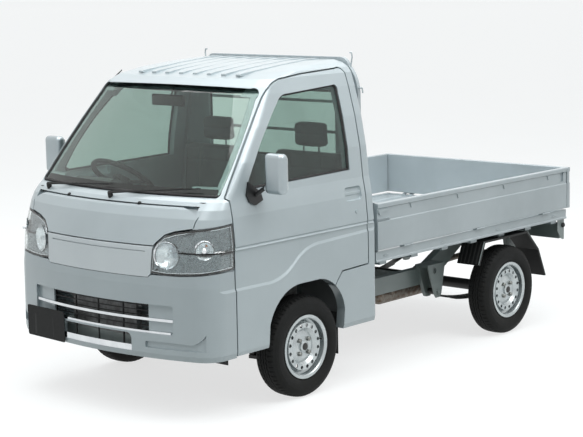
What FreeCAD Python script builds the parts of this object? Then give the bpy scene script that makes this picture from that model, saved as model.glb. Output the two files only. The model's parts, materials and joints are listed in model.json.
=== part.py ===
import FreeCAD, Part
import math
import os

# Kei truck with a cab over the front wheels and a drop-side bed.
# Frame: +Z up from the ground, -Y is the front, +X is the vehicle's left. Millimetres.

V = FreeCAD.Vector

# Overall sizes
LENGTH = 3395.0
WIDTH = 1475.0
WHEELBASE = 1900.0
FRONT_OVERHANG = 842.5
TRACK_FRONT = 1305.0
TRACK_REAR = 1300.0
NOSE_Y = -LENGTH / 2
TAIL_Y = LENGTH / 2
FRONT_AXLE_Y = NOSE_Y + FRONT_OVERHANG
REAR_AXLE_Y = FRONT_AXLE_Y + WHEELBASE

# Tyres and wheels, size 145R12
TYRE_RADIUS = 271.0
TYRE_WIDTH = 145.0
BEAD_RADIUS = 155.0
RIM_FLANGE_RADIUS = 170.0
RIM_WIDTH = 126.0
RIM_METAL = 5.0
RIM_OFFSET = 40.0
VENT_COUNT = 16
VENT_RADIUS = 10.0
VENT_CIRCLE = 122.0
HUB_CAP_RADIUS = 32.0
DRUM_RADIUS = 100.0
STUD_COUNT = 4
STUD_CIRCLE = 50.0
SPINDLE_RADIUS = 15.0
PIN_CLEARANCE = 0.5

# Cab body
BODY_HALF = 737.0
NOSE_RADIUS = 2270.0
REAR_CORNER = 26.0
CAB_TAIL_Y = -279.0
SKIRT_Z = 318.0
COWL_Z = 1120.0
SCREEN_TOP_Z = 1645.0
ROOF_TOP_Z = 1745.0
SCREEN_BASE_SETBACK = 151.5
SCREEN_TOP_SETBACK = 603.5
SIDE_WALL = 55.0
TAIL_WALL = 32.0
ROOF_WALL = 32.0
SCREEN_WALL = 50.0
SKIN_FRONT = 30.0
SKIN_SIDE = 20.0
LAMP_DEPTH_FRONT = 50.0
LAMP_DEPTH_SIDE = 32.0
DASH_PANEL_Y = -1496.0
DASH_PANEL_WALL = 40.0
DASH_PANEL_BOW = 200000.0
SEAT_GAP = 0.3
PANEL_GAP = 3.0
DOOR_GAP = 8.0
DOOR_FLANGE = 12.0
DOOR_INSET = 14.0
GLASS_DEPTH = 14.0
GLASS_THICKNESS = 5.0
PILLAR_STRIP = 6.0
PILLAR_FLANGE = 45.0

# Doors
DOOR_FRONT_Y = -1397.0
DOOR_REAR_Y = -354.0
DOOR_BOTTOM_Z = 326.0
DOOR_HINGE_X = 730.0
DOOR_HINGE_Y = -1390.0

# Front panel stack
GARNISH_BOTTOM_Z = 735.0
LID_BOTTOM_Z = 892.0
LID_TOP_Z = 1080.0
LID_FLANGE = 5.0
GRILLE_TOP_Z = 594.0
GRILLE_BOTTOM_Z = 446.0
GRILLE_HALF = 520.0
MESH_HALF = 360.0
INTAKE_HALF = 262.0
INTAKE_TOP_Z = 438.0
INTAKE_BOTTOM_Z = 346.0

# Bed and gates
BED_FRONT_Y = -262.0
BED_FLOOR_Z = 682.0
FLOOR_THICKNESS = 24.0
SILL_X = 718.0
SILL_LIP_X = 723.0
SILL_TOP_Z = 690.0
SILL_BOTTOM_Z = 632.0
GATE_BOTTOM_Z = 702.0
GATE_TOP_Z = 960.0
GATE_THICKNESS = 30.0
GATE_OUTER_X = 735.0
GATE_HINGE_DROP = 5.0
GATE_HINGE_INSET = 2.0
GATE_GAP = 6.0
GUARD_TOP_Z = 1757.0
GUARD_TUBE = 24.0

# Ladder frame
RAIL_X = 415.0
RAIL_WIDTH = 50.0
RAIL_BOTTOM_Z = 350.0
RAIL_DEPTH = 100.0
RAIL_REAR_Z = 608.0
KICK_START_Y = 640.0
KICK_END_Y = 960.0

AXES = {"x": V(1, 0, 0), "y": V(0, 1, 0), "z": V(0, 0, 1)}


def place(axis, level):
    """The plane square to an axis: x takes (y, z), y takes (x, z), z takes (x, y)."""
    if axis == "x":
        return lambda a, b: V(level, a, b)
    if axis == "y":
        return lambda a, b: V(a, level, b)
    return lambda a, b: V(a, b, level)


def outline(points, put):
    """A closed wire. A point is (a, b), or (am, bm, a, b) at the end of an arc through (am, bm)."""
    first = put(*points[0][-2:])
    last = first
    edges = []
    for point in points[1:]:
        end = put(*point[-2:])
        if len(point) == 4:
            edges.append(Part.Arc(last, put(*point[:2]), end).toShape())
        else:
            edges.append(Part.makeLine(last, end))
        last = end
    if last.distanceToPoint(first) > 0.001:
        edges.append(Part.makeLine(last, first))
    return Part.Wire(edges)


def prism(axis, points, low, high, grow=0.0):
    wire = outline(points, place(axis, low))
    if grow:
        wire = wire.makeOffset2D(grow)
    return Part.Face(wire).extrude(AXES[axis] * (high - low))


def block(x0, x1, y0, y1, z0, z1):
    return Part.makeBox(x1 - x0, y1 - y0, z1 - z0, V(x0, y0, z0))


def rounded(x0, x1, y0, y1, z0, z1, radius):
    body = block(x0, x1, y0, y1, z0, z1)
    return body.makeFillet(radius, body.Edges)


def rod(start, end, radius):
    return Part.makeCylinder(radius, (end - start).Length, start, end - start)


def path_rod(points, radius):
    """Round bar through points, with a ball at each bend."""
    pieces = [rod(a, b, radius) for a, b in zip(points, points[1:])]
    pieces += [Part.makeSphere(radius, p) for p in points[1:-1]]
    return joined(pieces)


def joined(shapes):
    shapes = list(shapes)
    return shapes[0].multiFuse(shapes[1:]) if len(shapes) > 1 else shapes[0]


def mirrored(shape):
    return shape.mirror(V(0, 0, 0), V(1, 0, 0))


def both(shape):
    return [shape, mirrored(shape)]


def moved(shape, x=0.0, y=0.0, z=0.0):
    return shape.translated(V(x, y, z))


def turned(profile_points, centre, axis):
    """Solid of revolution: points are (along the axis, radius)."""
    side = V(0, 0, 1)
    wire = outline(profile_points, lambda a, r: centre + axis * a + side * r)
    return Part.Face(wire).revolve(centre, axis, 360)


def save(name, shapes, smallest=400.0):
    """Write one node, leaving out crumbs of the cuts."""
    shapes = shapes if isinstance(shapes, list) else [shapes]
    solids = [s for shape in shapes for s in shape.Solids if abs(s.Volume) > smallest]
    whole = solids[0] if len(solids) == 1 else Part.makeCompound(solids)
    whole.exportStep("parts/" + name + ".step")
    box = whole.optimalBoundingBox()
    print(f"{name:22s} {len(solids):2d} solids {sum(s.Volume for s in solids) / 1e6:9.3f} l"
          f"  x {box.XMin:.0f}..{box.XMax:.0f} y {box.YMin:.0f}..{box.YMax:.0f}"
          f" z {box.ZMin:.0f}..{box.ZMax:.0f} valid {whole.isValid()}")


# Cab form

CREASE_Z = 873.0
ROOF_RISE = ROOF_TOP_Z - SCREEN_TOP_Z


def cab_stations():
    """Height, lean of the side, setback of the nose and front corner radius, from skirt to roof."""
    slope = (SCREEN_TOP_SETBACK - SCREEN_BASE_SETBACK) / (SCREEN_TOP_Z - COWL_Z)

    def screen(height, lean, corner):
        return (height, lean, SCREEN_BASE_SETBACK + slope * (height - COWL_Z), corner)

    return [
        (SKIRT_Z, 7.0, 7.5, 120.0),
        (SKIRT_Z + 27, 1.0, 0.5, 130.0),
        (GARNISH_BOTTOM_Z - 45, 0.0, 3.5, 135.0),
        (GARNISH_BOTTOM_Z + 2, 0.0, 8.5, 140.0),
        (CREASE_Z - 9, 0.0, 17.5, 150.0),
        (CREASE_Z, 7.0, 18.5, 150.0),
        (CREASE_Z + 9, 1.5, 19.5, 150.0),
        (COWL_Z - 94, 15.0, 67.5, 130.0),
        (COWL_Z - 50, 23.0, 91.5, 115.0),
        (COWL_Z - 15, 30.0, 125.5, 100.0),
        screen(COWL_Z, 33.0, 80.0),
        screen(COWL_Z + 165, 50.0, 70.0),
        screen(COWL_Z + 330, 82.0, 70.0),
        screen(SCREEN_TOP_Z - 35, 125.0, 72.0),
        screen(SCREEN_TOP_Z, 137.0, 75.0),
        (SCREEN_TOP_Z + 0.35 * ROOF_RISE, 149.0, SCREEN_TOP_SETBACK + 74, 90.0),
        (SCREEN_TOP_Z + 0.63 * ROOF_RISE, 170.0, SCREEN_TOP_SETBACK + 214, 110.0),
        (SCREEN_TOP_Z + 0.85 * ROOF_RISE, 207.0, SCREEN_TOP_SETBACK + 414, 95.0),
        (ROOF_TOP_Z, 267.0, SCREEN_TOP_SETBACK + 614, 60.0),
    ]


def cab_section(height, half, nose, corner, tail, bow):
    """Plan of the cab at one height: large front arc, two front corners, sides and rear corners."""
    front_centre = nose + bow
    centre_x = half - corner
    centre_y = front_centre - math.sqrt((bow - corner) ** 2 - centre_x ** 2)
    reach = bow / (bow - corner)
    front_x = centre_x * reach
    front_y = front_centre + (centre_y - front_centre) * reach
    middle = math.atan2(centre_y - front_centre, centre_x) / 2
    mid_x = centre_x + corner * math.cos(middle)
    mid_y = centre_y + corner * math.sin(middle)
    bend = REAR_CORNER * (1 - math.sqrt(0.5))
    rear_x = half - REAR_CORNER
    points = [
        (rear_x, tail),
        (half - bend, tail - bend, half, tail - REAR_CORNER),
        (half, centre_y),
        (mid_x, mid_y, front_x, front_y),
        (0.0, nose, -front_x, front_y),
        (-mid_x, mid_y, -half, centre_y),
        (-half, tail - REAR_CORNER),
        (-half + bend, tail - bend, -rear_x, tail),
    ]
    return outline(points, place("z", height))


def cab_form(side=0.0, front=0.0, screen=0.0, tail=0.0, top=0.0, below=0.0, cabin=False):
    """The cab's outer form, or a form inside it by the given insets."""
    wires = []
    for index, (height, lean, setback, corner) in enumerate(cab_stations()):
        nose = NOSE_Y + setback + (screen if height >= COWL_Z else front)
        radius = max(corner - side, 25.0)
        bow = NOSE_RADIUS
        if cabin and height < COWL_Z:
            nose = DASH_PANEL_Y
            radius = 60.0
            bow = DASH_PANEL_BOW
        if height >= SCREEN_TOP_Z:
            height -= top
        if index == 0:
            height -= below
        wires.append(cab_section(height, BODY_HALF - lean - side, nose, radius, CAB_TAIL_Y - tail, bow))
    return Part.makeLoft(wires, True, True)


ARCH = [
    (-313, 290), (-300, 440), (-215, 565, -60, 622), (97, 622), (232, 560, 300, 430), (285, 290),
]
ARCH_INNER_X = 430.0


def arch_cut():
    points = [p[:-2] + (FRONT_AXLE_Y + p[-2], p[-1]) for p in ARCH]
    points = [(FRONT_AXLE_Y + p[0], p[1]) + p[2:] if len(p) == 4 else p for p in points]
    return both(prism("x", points, ARCH_INNER_X, BODY_HALF + 30))


RECESS_DEPTH = 7.0
RECESS_FACET = 14.0


def side_recess():
    """The inset band on the cab's side, between the swept step and the shoulder crease."""
    wires = []
    for depth, drop in ((RECESS_DEPTH, 0.0), (-RECESS_DEPTH, 2 * RECESS_FACET)):
        low = [(-1560, 672), (-1142, 669), (-1045, 690, -955, 745), (-868, 799, -768, 822), (-250, 838)]
        points = [p[:-2] + (p[-2], p[-1] - drop) for p in low]
        points = [(p[0], p[1] - drop) + p[2:] if len(p) == 4 else p for p in points]
        points += [(-250, CREASE_Z - 9), (-1560, CREASE_Z - 9)]
        wires.append(outline(points, place("x", BODY_HALF - depth)))
    return both(Part.makeLoft(wires, True, True))


def cab_body():
    """The cab's full outer solid with its wheel arches and pressed side recess."""
    return cab_form().cut(arch_cut() + side_recess())


# Outlines of the openings

DOOR_OUTLINE = [
    (DOOR_FRONT_Y, DOOR_BOTTOM_Z), (DOOR_FRONT_Y, COWL_Z - 8), (DOOR_FRONT_Y - 16, COWL_Z + 4),
    (-1190, 1411, -1042, 1582), (-988, 1630, -880, 1675), (-704, 1690), (-400, 1702),
    (-367, 1697, DOOR_REAR_Y, 1665),
    (DOOR_REAR_Y, 648), (-575, 640), (-618, 592), (-660, 540), (-660, DOOR_BOTTOM_Z),
]
WINDOW_OUTLINE = [
    (-454, 1166), (-1255, 1150), (-1266, 1170), (-1118, 1380, -945, 1560), (-905, 1592, -850, 1602),
    (-480, 1622), (-452, 1615, -446, 1590),
]
SCREEN_OUTLINE = [
    (-640, COWL_Z + 4), (640, COWL_Z + 4), (664, COWL_Z + 12, 664, COWL_Z + 34),
    (628, SCREEN_TOP_Z - 230, 586, SCREEN_TOP_Z - 60), (576, SCREEN_TOP_Z - 18, 530, SCREEN_TOP_Z - 8),
    (0, SCREEN_TOP_Z + 2, -530, SCREEN_TOP_Z - 8), (-576, SCREEN_TOP_Z - 18, -586, SCREEN_TOP_Z - 60),
    (-628, SCREEN_TOP_Z - 230, -664, COWL_Z + 34), (-664, COWL_Z + 12, -640, COWL_Z + 4),
]
REAR_WINDOW = (480.0, 1190.0, 1575.0, 40.0)
LAMP_VIEW = math.radians(40)
LAMP_POINTS = [
    (392, -1654, 754), (394, -1649, 809), (400, -1643, 869), (416, -1629, 904), (456, -1610, 941),
    (509, -1593, 959), (606, -1563, 976), (683, -1522, 987), (737, -1405, 1000), (737, -1405, 772),
    (729, -1507, 768), (666, -1584, 758), (561, -1618, 750), (475, -1638, 748),
]
LID_SIDE = [(398, LID_BOTTOM_Z), (411, 909), (453, 948), (507, 967), (604, 984), (608, 1012), (616, 1034),
            (629, 1066), (631, LID_TOP_Z)]
GARNISH_SIDE = [(370, GARNISH_BOTTOM_Z - 3), (388, 750), (390, 809), (394, 868), (399, LID_BOTTOM_Z - 6)]
BUMPER_TOP = [(370, GARNISH_BOTTOM_Z - 6), (392, 744), (475, 745), (561, 746), (666, 754), (740, 764)]


def symmetric(side_points, start_low=True):
    """A closed outline from one side's points and their mirror images."""
    other = [(-x, z) for x, z in reversed(side_points)]
    return side_points + other


def drawn_in(points, middle_z, gap):
    """The outline's points moved in by a gap, towards x = 0 and a middle height."""

    def pull(value, middle):
        return value - math.copysign(gap, value - middle) if value != middle else value

    return [tuple(pull(v, middle_z if i % 2 else 0.0) for i, v in enumerate(p)) for p in points]


def lamp_prism(grow=0.0):
    """The left headlamp's outline, drawn square to a line of sight from ahead and to the left."""
    sight = V(math.sin(LAMP_VIEW), -math.cos(LAMP_VIEW), 0)
    across = V(math.cos(LAMP_VIEW), math.sin(LAMP_VIEW), 0)
    base = V(560, -1560, 0) - sight * 200
    flat = [(V(x, y, 0).dot(across) - base.dot(across), z) for x, y, z in LAMP_POINTS]
    wire = outline(flat, lambda a, z: base + across * a + V(0, 0, z))
    if grow:
        wire = wire.makeOffset2D(grow)
    return Part.Face(wire).extrude(sight * 500)


def rear_window_prism(low, high, shrink=0.0):
    half, bottom, top, radius = REAR_WINDOW
    body = block(-half + shrink, half - shrink, low, high, bottom + shrink, top - shrink)
    edges = [e for e in body.Edges if abs(e.Vertexes[0].Y - e.Vertexes[1].Y) > 1]
    return body.makeFillet(radius - shrink, edges)


ROOF_ZONE = [(-1300, 1500), (-1065, 1612), (-962, 1684), (-892, 1692), (-400, 1710), (-200, 1716),
             (-200, 1900), (-1300, 1900)]
FRONT_HALF = 604.0


class Cab:
    """The forms that the cab's pieces are cut from."""

    def __init__(self):
        self.body = cab_body()
        self.cabin = cab_form(SIDE_WALL, 0, SCREEN_WALL, TAIL_WALL, ROOF_WALL, 10, True)
        self.behind_skin = cab_form(SKIN_SIDE, SKIN_FRONT, SKIN_FRONT, -10, 20, 10)
        self.lamp_floor = cab_form(LAMP_DEPTH_SIDE, LAMP_DEPTH_FRONT, LAMP_DEPTH_FRONT, -10, 20, 10)
        self.shell = self.body.cut(self.cabin)
        self.skin = self.body.cut(self.behind_skin)
        self.bumper_zone = prism("y", symmetric(BUMPER_TOP[::-1]) + [(-740, 300), (740, 300)],
                                 NOSE_Y - 50, DOOR_FRONT_Y - DOOR_GAP)
        self.lid_zone = prism("y", symmetric(LID_SIDE), NOSE_Y - 50, DASH_PANEL_Y - DASH_PANEL_WALL)
        self.garnish_zone = prism("y", symmetric(GARNISH_SIDE), NOSE_Y - 50,
                                  DASH_PANEL_Y - DASH_PANEL_WALL)
        front = block(-800, 800, NOSE_Y - 9, DOOR_FRONT_Y + 60, 300, LID_TOP_Z + 30)
        self.nose = self.body.common(front)
        self.nose_back = self.behind_skin.common(front)
        self.inside = cab_form(SIDE_WALL + SEAT_GAP, 0, SCREEN_WALL, TAIL_WALL + SEAT_GAP, ROOF_WALL, 10, True)
        self.roof_zone = prism("x", ROOF_ZONE, -800, 800)
        self.doorways = both(prism("x", DOOR_OUTLINE, 528, BODY_HALF + 30, DOOR_GAP))
        self.screen_hole = prism("y", SCREEN_OUTLINE, NOSE_Y, -850)
        self.rear_zone = block(-540, 540, CAB_TAIL_Y - TAIL_WALL - 1, CAB_TAIL_Y + 1, 612, 1800)
        self.rear_hole = rear_window_prism(CAB_TAIL_Y - 60, CAB_TAIL_Y + 30)


def roof(cab):
    panel = cab.shell.common(cab.roof_zone).cut([cab.screen_hole] + cab.doorways)
    beads = []
    for index in range(8):
        x = (index - 3.5) * 105
        rise = [(-960, 1700), (-930, 1706), (-660, 1732), (-420, 1751), (-330, 1751), (-300, 1744),
                (-300, 1725), (-960, 1690)]
        beads.append(prism("x", rise, x - 16, x + 16))
    return panel.fuse(beads)


def rear_wall(cab):
    panel = cab.shell.common(cab.rear_zone).cut([cab.roof_zone, cab.rear_hole])
    swages = [block(-430, 430, CAB_TAIL_Y - 6, CAB_TAIL_Y + 5, z, z + 60) for z in (760, 880, 1000)]
    return panel.cut(swages)


def cab_sides(cab):
    """Door frames, pillars, upper front corners and the lower panels behind the arches."""
    ahead = DASH_PANEL_Y - DASH_PANEL_WALL
    front_space = cab.behind_skin.common(block(-800, 800, NOSE_Y, ahead, 300, LID_TOP_Z + 7))
    middle = block(-FRONT_HALF, FRONT_HALF, NOSE_Y - 9, DASH_PANEL_Y + 30, 300, COWL_Z + 4)
    lid_gap = prism("y", symmetric([(x + PANEL_GAP + 3, z) for x, z in LID_SIDE]
                                   + [(LID_SIDE[-1][0] + 6, LID_TOP_Z + 7)]),
                    NOSE_Y - 50, ahead)
    bumper_gap = cab.skin.common(prism("y", symmetric([(x, z + PANEL_GAP) for x, z in BUMPER_TOP][::-1])
                                       + [(-740, 290), (740, 290)], NOSE_Y - 50, DOOR_FRONT_Y - DOOR_GAP))
    lamp_space = [lamp_prism(PANEL_GAP).cut(cab.lamp_floor).common(ahead_of_door(DOOR_GAP - 1))]
    lamp_space.append(mirrored(lamp_space[0]))
    under = block(-800, 800, -700, 0, 300, 320)
    rear_low = block(-540, 540, CAB_TAIL_Y - 80, CAB_TAIL_Y + 9, 300, 1800)
    centre = block(-400, 400, NOSE_Y, 0, 300, 1900)
    rest = cab.shell.cut([front_space, middle, lid_gap, cab.roof_zone, rear_low, under, centre,
                          cab.screen_hole, bumper_gap] + cab.doorways + lamp_space)
    rest = joined([rest] + screen_posts(cab))
    return [s for s in rest.Solids if s.Volume > 50000]


def screen_posts(cab):
    """Both windscreen posts: a strip beside the glass and a flange behind its edge."""
    side_view = [(-1700, COWL_Z - 2), (-1395, COWL_Z - 2), (-1161, 1415), (-1017, 1585), (-985, 1625), (-985, 1700),
                 (-1700, 1700)]
    strip = prism("y", SCREEN_OUTLINE, NOSE_Y, -850, PILLAR_STRIP)
    opening = prism("y", SCREEN_OUTLINE, NOSE_Y, -850, -PILLAR_FLANGE)
    before_glass = cab.screen_hole.cut(moved(glass_forms()[1], y=SEAT_GAP))
    cowl = block(-FRONT_HALF - SEAT_GAP, FRONT_HALF + SEAT_GAP, NOSE_Y, -1300, 1000, COWL_Z + 4 + SEAT_GAP)
    post = cab.shell.common(prism("x", side_view, 480, 760)).common(strip)
    return both(post.cut([opening, before_glass, cowl, cab.roof_zone]))


def front_panel(cab):
    """Dash panel, cowl and the carrier bars behind the bumper, garnish and lamps."""
    wall = cab.behind_skin.cut(cab.cabin).common(
        block(-FRONT_HALF, FRONT_HALF, DASH_PANEL_Y - DASH_PANEL_WALL, DASH_PANEL_Y + 20, 426, LID_TOP_Z + 7))
    wall = wall.cut([lamp.cut(cab.lamp_floor) for lamp in both(lamp_prism(PANEL_GAP))])
    cowl = cab.shell.common(
        block(-FRONT_HALF, FRONT_HALF, NOSE_Y, DASH_PANEL_Y + 29, LID_TOP_Z + 7, COWL_Z + 4))
    sheet = moved(cab.nose_back, y=SEAT_GAP)
    layer = sheet.cut(moved(sheet, y=26))
    bars = [block(-560, 560, NOSE_Y, -1500, 700, GARNISH_BOTTOM_Z + 10),
            block(-385, 385, NOSE_Y, -1500, 856, LID_BOTTOM_Z - 12)]
    for side in (-1, 1):
        inner, outer = sorted((side * 340, side * 372))
        bars.append(block(inner, outer, NOSE_Y, -1500, GARNISH_BOTTOM_Z, 870))
        inner, outer = sorted((side * 528, side * 556))
        bars.append(block(inner, outer, NOSE_Y, -1500, 335, 720))
    frame = layer.common(joined(bars))
    links = []
    for x in (-542, 542):
        links.append(block(x - 14, x + 14, -1585, DASH_PANEL_Y - DASH_PANEL_WALL + 1, 705, 735))
        links.append(block(x - 14, x + 14, -1585, DASH_PANEL_Y - DASH_PANEL_WALL + 1, 430, 460))
    return joined([wall, cowl, frame] + links)


def bumper(cab):
    """The moulded bumper: grille opening with end pockets, lower intake and corner scoops."""
    skin = cab.nose.cut(moved(cab.nose_back, y=-SEAT_GAP)).common(cab.bumper_zone)
    mesh = prism("y", symmetric([(MESH_HALF, GRILLE_BOTTOM_Z), (MESH_HALF, GRILLE_TOP_Z)]), NOSE_Y - 50, -1500)
    pocket = prism("y", pocket_points(), NOSE_Y - 50, -1500).cut(moved(cab.nose, y=18))
    intake = prism("y", intake_points(), NOSE_Y - 50, -1500)
    scoops = [scoop.cut(moved(cab.nose, y=12)) for scoop in both(scoop_prism())]
    return skin.cut([mesh, pocket, intake] + scoops)


def pocket_points():
    ribs = 24.0
    right = [(GRILLE_HALF - ribs, GRILLE_BOTTOM_Z),
             (GRILLE_HALF - 7, GRILLE_BOTTOM_Z + 7, GRILLE_HALF, GRILLE_BOTTOM_Z + ribs),
             (GRILLE_HALF, GRILLE_TOP_Z - 10),
             (GRILLE_HALF - 3, GRILLE_TOP_Z - 3, GRILLE_HALF - 10, GRILLE_TOP_Z)]
    left = [(-GRILLE_HALF + 10, GRILLE_TOP_Z),
            (-GRILLE_HALF + 3, GRILLE_TOP_Z - 3, -GRILLE_HALF, GRILLE_TOP_Z - 10),
            (-GRILLE_HALF, GRILLE_BOTTOM_Z + ribs),
            (-GRILLE_HALF + 7, GRILLE_BOTTOM_Z + 7, -GRILLE_HALF + ribs, GRILLE_BOTTOM_Z)]
    return right + left


def intake_points():
    round_in = 36.0
    return [(-INTAKE_HALF, INTAKE_BOTTOM_Z), (INTAKE_HALF, INTAKE_BOTTOM_Z),
            (INTAKE_HALF, INTAKE_TOP_Z - round_in),
            (INTAKE_HALF - 10, INTAKE_TOP_Z - 10, INTAKE_HALF - round_in, INTAKE_TOP_Z),
            (-INTAKE_HALF + round_in, INTAKE_TOP_Z),
            (-INTAKE_HALF + 10, INTAKE_TOP_Z - 10, -INTAKE_HALF, INTAKE_TOP_Z - round_in)]


def scoop_prism():
    return prism("y", [(350, 372), (350, 404), (470, 408, 600, 404), (662, 424, 690, 458), (690, 372)],
                 NOSE_Y - 50, -1500)


def grille_bars(cab):
    """Two bright bars across the opening and the lower bar of the intake."""
    front = moved(cab.nose, y=5).cut(moved(cab.nose, y=17))
    bars = [block(-GRILLE_HALF + 6, GRILLE_HALF - 6, NOSE_Y, -1500, 510, 524),
            block(-GRILLE_HALF + 20, GRILLE_HALF - 20, NOSE_Y, -1500, GRILLE_BOTTOM_Z + SEAT_GAP, 457)]
    lower = moved(cab.nose, y=2).cut(moved(cab.nose, y=24)).common(
        block(-INTAKE_HALF + SEAT_GAP, INTAKE_HALF - SEAT_GAP, NOSE_Y, -1500, INTAKE_BOTTOM_Z + SEAT_GAP, 377))
    return [front.common(bar) for bar in bars] + [lower]


def grille_backing(cab):
    """Black lattice behind the opening: slats, posts and its frame on the carrier."""
    depth = moved(cab.nose_back, y=SEAT_GAP).cut(moved(cab.nose_back, y=8))
    frame = [block(-520, 520, NOSE_Y, -1500, z, z + 14) for z in (GRILLE_TOP_Z + 2, GRILLE_BOTTOM_Z - 16,
                                                                INTAKE_BOTTOM_Z - 16)]
    frame += [block(x - 3, x + 3, NOSE_Y, -1500, INTAKE_BOTTOM_Z - 10, GRILLE_TOP_Z + 10)
              for x in (-360, -180, 0, 180, 360)]
    frame += [block(-365, 365, NOSE_Y, -1500, z - 2, z + 2) for z in range(476, 590, 26)]
    frame += [block(x - 7, x + 7, NOSE_Y, -1500, INTAKE_BOTTOM_Z - 16, GRILLE_TOP_Z + 16) for x in (-513, 513)]
    return depth.common(joined(frame))


def garnish(cab):
    panel = cab.nose.cut(moved(cab.nose_back, y=-SEAT_GAP)).common(cab.garnish_zone)
    slot = prism("y", [(-352, 858), (352, 858), (350, 863), (-350, 863)], NOSE_Y - 50, -1500)
    return panel.cut(slot.cut(moved(cab.nose, y=10)))


def lid(cab):
    """Front lid: a thin flange round its edge on an inset box, like the doors."""
    flange = cab.nose.cut(moved(cab.nose, y=LID_FLANGE)).common(cab.lid_zone)
    points = symmetric(LID_SIDE)
    core = prism("y", points, NOSE_Y - 50, DASH_PANEL_Y - DASH_PANEL_WALL, -DOOR_INSET)
    inner = moved(cab.nose, y=LID_FLANGE - 1).cut(moved(cab.nose_back, y=-SEAT_GAP)).common(core)
    return flange.fuse(inner)


def lamp_parts(cab):
    """Clear lens and, behind it, the housing with its reflector bowls, for the left side."""
    space = lamp_prism().common(cab.nose).common(ahead_of_door(DOOR_GAP + 1))
    lens = space.cut(moved(cab.nose, x=-2.6, y=3.1))
    inside = space.common(moved(cab.nose, x=-2.8, y=3.4)).cut(moved(cab.lamp_floor, x=SEAT_GAP, y=-SEAT_GAP))
    beside = [prism("y", symmetric([(x + PANEL_GAP, z) for x, z in GARNISH_SIDE]), NOSE_Y - 50, -1500),
              prism("y", symmetric([(x + PANEL_GAP, z - PANEL_GAP) for x, z in LID_SIDE]), NOSE_Y - 50, -1500)]
    bowl = Part.makeSphere(84, V(490, -1668, 846))
    corner = Part.makeSphere(90, V(722, -1610, 880))
    return lens, inside.cut(beside + [bowl, corner])


def ahead_of_door(gap):
    return block(-800, 800, NOSE_Y - 9, DOOR_FRONT_Y - gap, 300, 1200)


def door(cab, flange_form):
    """The left door: thin outer flange on an inset box, with its window and handle."""
    whole = prism("x", DOOR_OUTLINE, 528, BODY_HALF + 30)
    core = prism("x", DOOR_OUTLINE, 528, BODY_HALF + 30, -DOOR_INSET)
    outer = cab.body.cut(flange_form).common(whole)
    inner = cab.body.common(flange_form).cut(cab.cabin).common(core)
    panel = outer.fuse(inner)
    window = prism("x", WINDOW_OUTLINE, 500, BODY_HALF + 30)
    pocket = rounded(700, 800, -522, -384, 1002, 1078, 20).cut(moved(cab.body, x=-14))
    past_post = prism("y", SCREEN_OUTLINE, NOSE_Y, -955, PILLAR_STRIP + DOOR_GAP)
    panel = panel.cut([window, pocket, past_post])
    grip = rounded(693, 712, -535, -371, 1030, 1052, 6)
    lock = rod(V(716, -437, 941), V(734, -437, 941), 11)
    return joined([panel, grip, lock])


def glass_forms():
    """The cab's form at the glass's outer and inner faces."""
    outer = cab_form(GLASS_DEPTH, GLASS_DEPTH, GLASS_DEPTH + 2, GLASS_DEPTH, GLASS_DEPTH, 10)
    deep = GLASS_DEPTH + GLASS_THICKNESS
    return outer, cab_form(deep, deep + 3, deep + 4, deep, deep, 20)


def pane(forms, shape):
    outer, inner = forms
    return shape.common(outer).cut(inner)


def mirror(cab):
    """Left door mirror: triangular foot on the door, arm and head."""
    foot = prism("x", [(-1283, 1128), (-1270, 1090), (-1228, 1070), (-1168, 1090), (-1176, 1132),
                       (-1262, 1190)], 640, 800)
    foot = foot.common(moved(cab.body, x=9)).cut(moved(cab.body, x=SEAT_GAP))
    head = rounded(775, 897, -1226, -1166, 1131, 1336, 24)
    arm = path_rod([V(715, -1215, 1122), V(752, -1206, 1150), V(800, -1198, 1175)], 11)
    return joined([foot.cut(block(600, 690, -1400, -1000, 1000, 1300)), arm, head])


def cab_floor(cab):
    """Footwell, riser and seat platform, with the bulkhead behind the front wheels."""
    footwell_z = 446.0
    platform_z = 650.0
    riser_y = FRONT_AXLE_Y - 330
    bulkhead_y = FRONT_AXLE_Y + 310
    sheet = 20.0
    profile = [(DASH_PANEL_Y + SEAT_GAP, footwell_z), (riser_y - 30, footwell_z), (riser_y - 12, footwell_z + 12),
               (riser_y, platform_z - 30), (riser_y + 24, platform_z),
               (CAB_TAIL_Y - TAIL_WALL, platform_z), (CAB_TAIL_Y - TAIL_WALL, platform_z - sheet),
               (riser_y + 50, platform_z - sheet), (riser_y + sheet - 12, footwell_z - sheet),
               (DASH_PANEL_Y + SEAT_GAP, footwell_z - sheet)]
    floor = prism("x", profile, -800, 800).common(cab.inside).common(moved(cab.inside, y=SEAT_GAP))
    wall = block(RAIL_X + 8, 800, bulkhead_y, bulkhead_y + 20, 335, platform_z - sheet).common(cab.inside)
    ribs = [block(x - 12, x + 12, -1480, riser_y - 60, footwell_z, footwell_z + 4) for x in range(-550, 551, 100)]
    return joined([floor] + both(wall) + ribs)


def dashboard(cab):
    """Moulded dashboard, fitted to the dash panel, with its hood and vents."""
    wall = DASH_PANEL_Y - 5
    profile = [(wall, 905), (DASH_PANEL_Y + 150, 860), (DASH_PANEL_Y + 215, 880),
               (DASH_PANEL_Y + 240, 1010), (DASH_PANEL_Y + 228, 1085, DASH_PANEL_Y + 150, 1108),
               (wall, 1104)]
    body = prism("x", profile, -620, 620)
    hood = prism("x", [(-1390, 1108), (-1360, 1142), (-1290, 1136, -1262, 1075), (-1300, 1040)], -480, -205)
    vents = [block(x, x + 140, -1275, -1240, 1025, 1068) for x in (-610, -160, 20, 470)]
    axis = steering_axis()
    column = rod(STEER_CENTRE, STEER_CENTRE - axis * 700, 52)
    return joined([body, hood]).common(moved(cab.inside, y=SEAT_GAP)).cut(vents + [column])


STEER_CENTRE = V(-350, -1130, 1118)
STEER_TILT = math.radians(52)


def steering_axis():
    return V(0, math.cos(STEER_TILT), math.sin(STEER_TILT))


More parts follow.
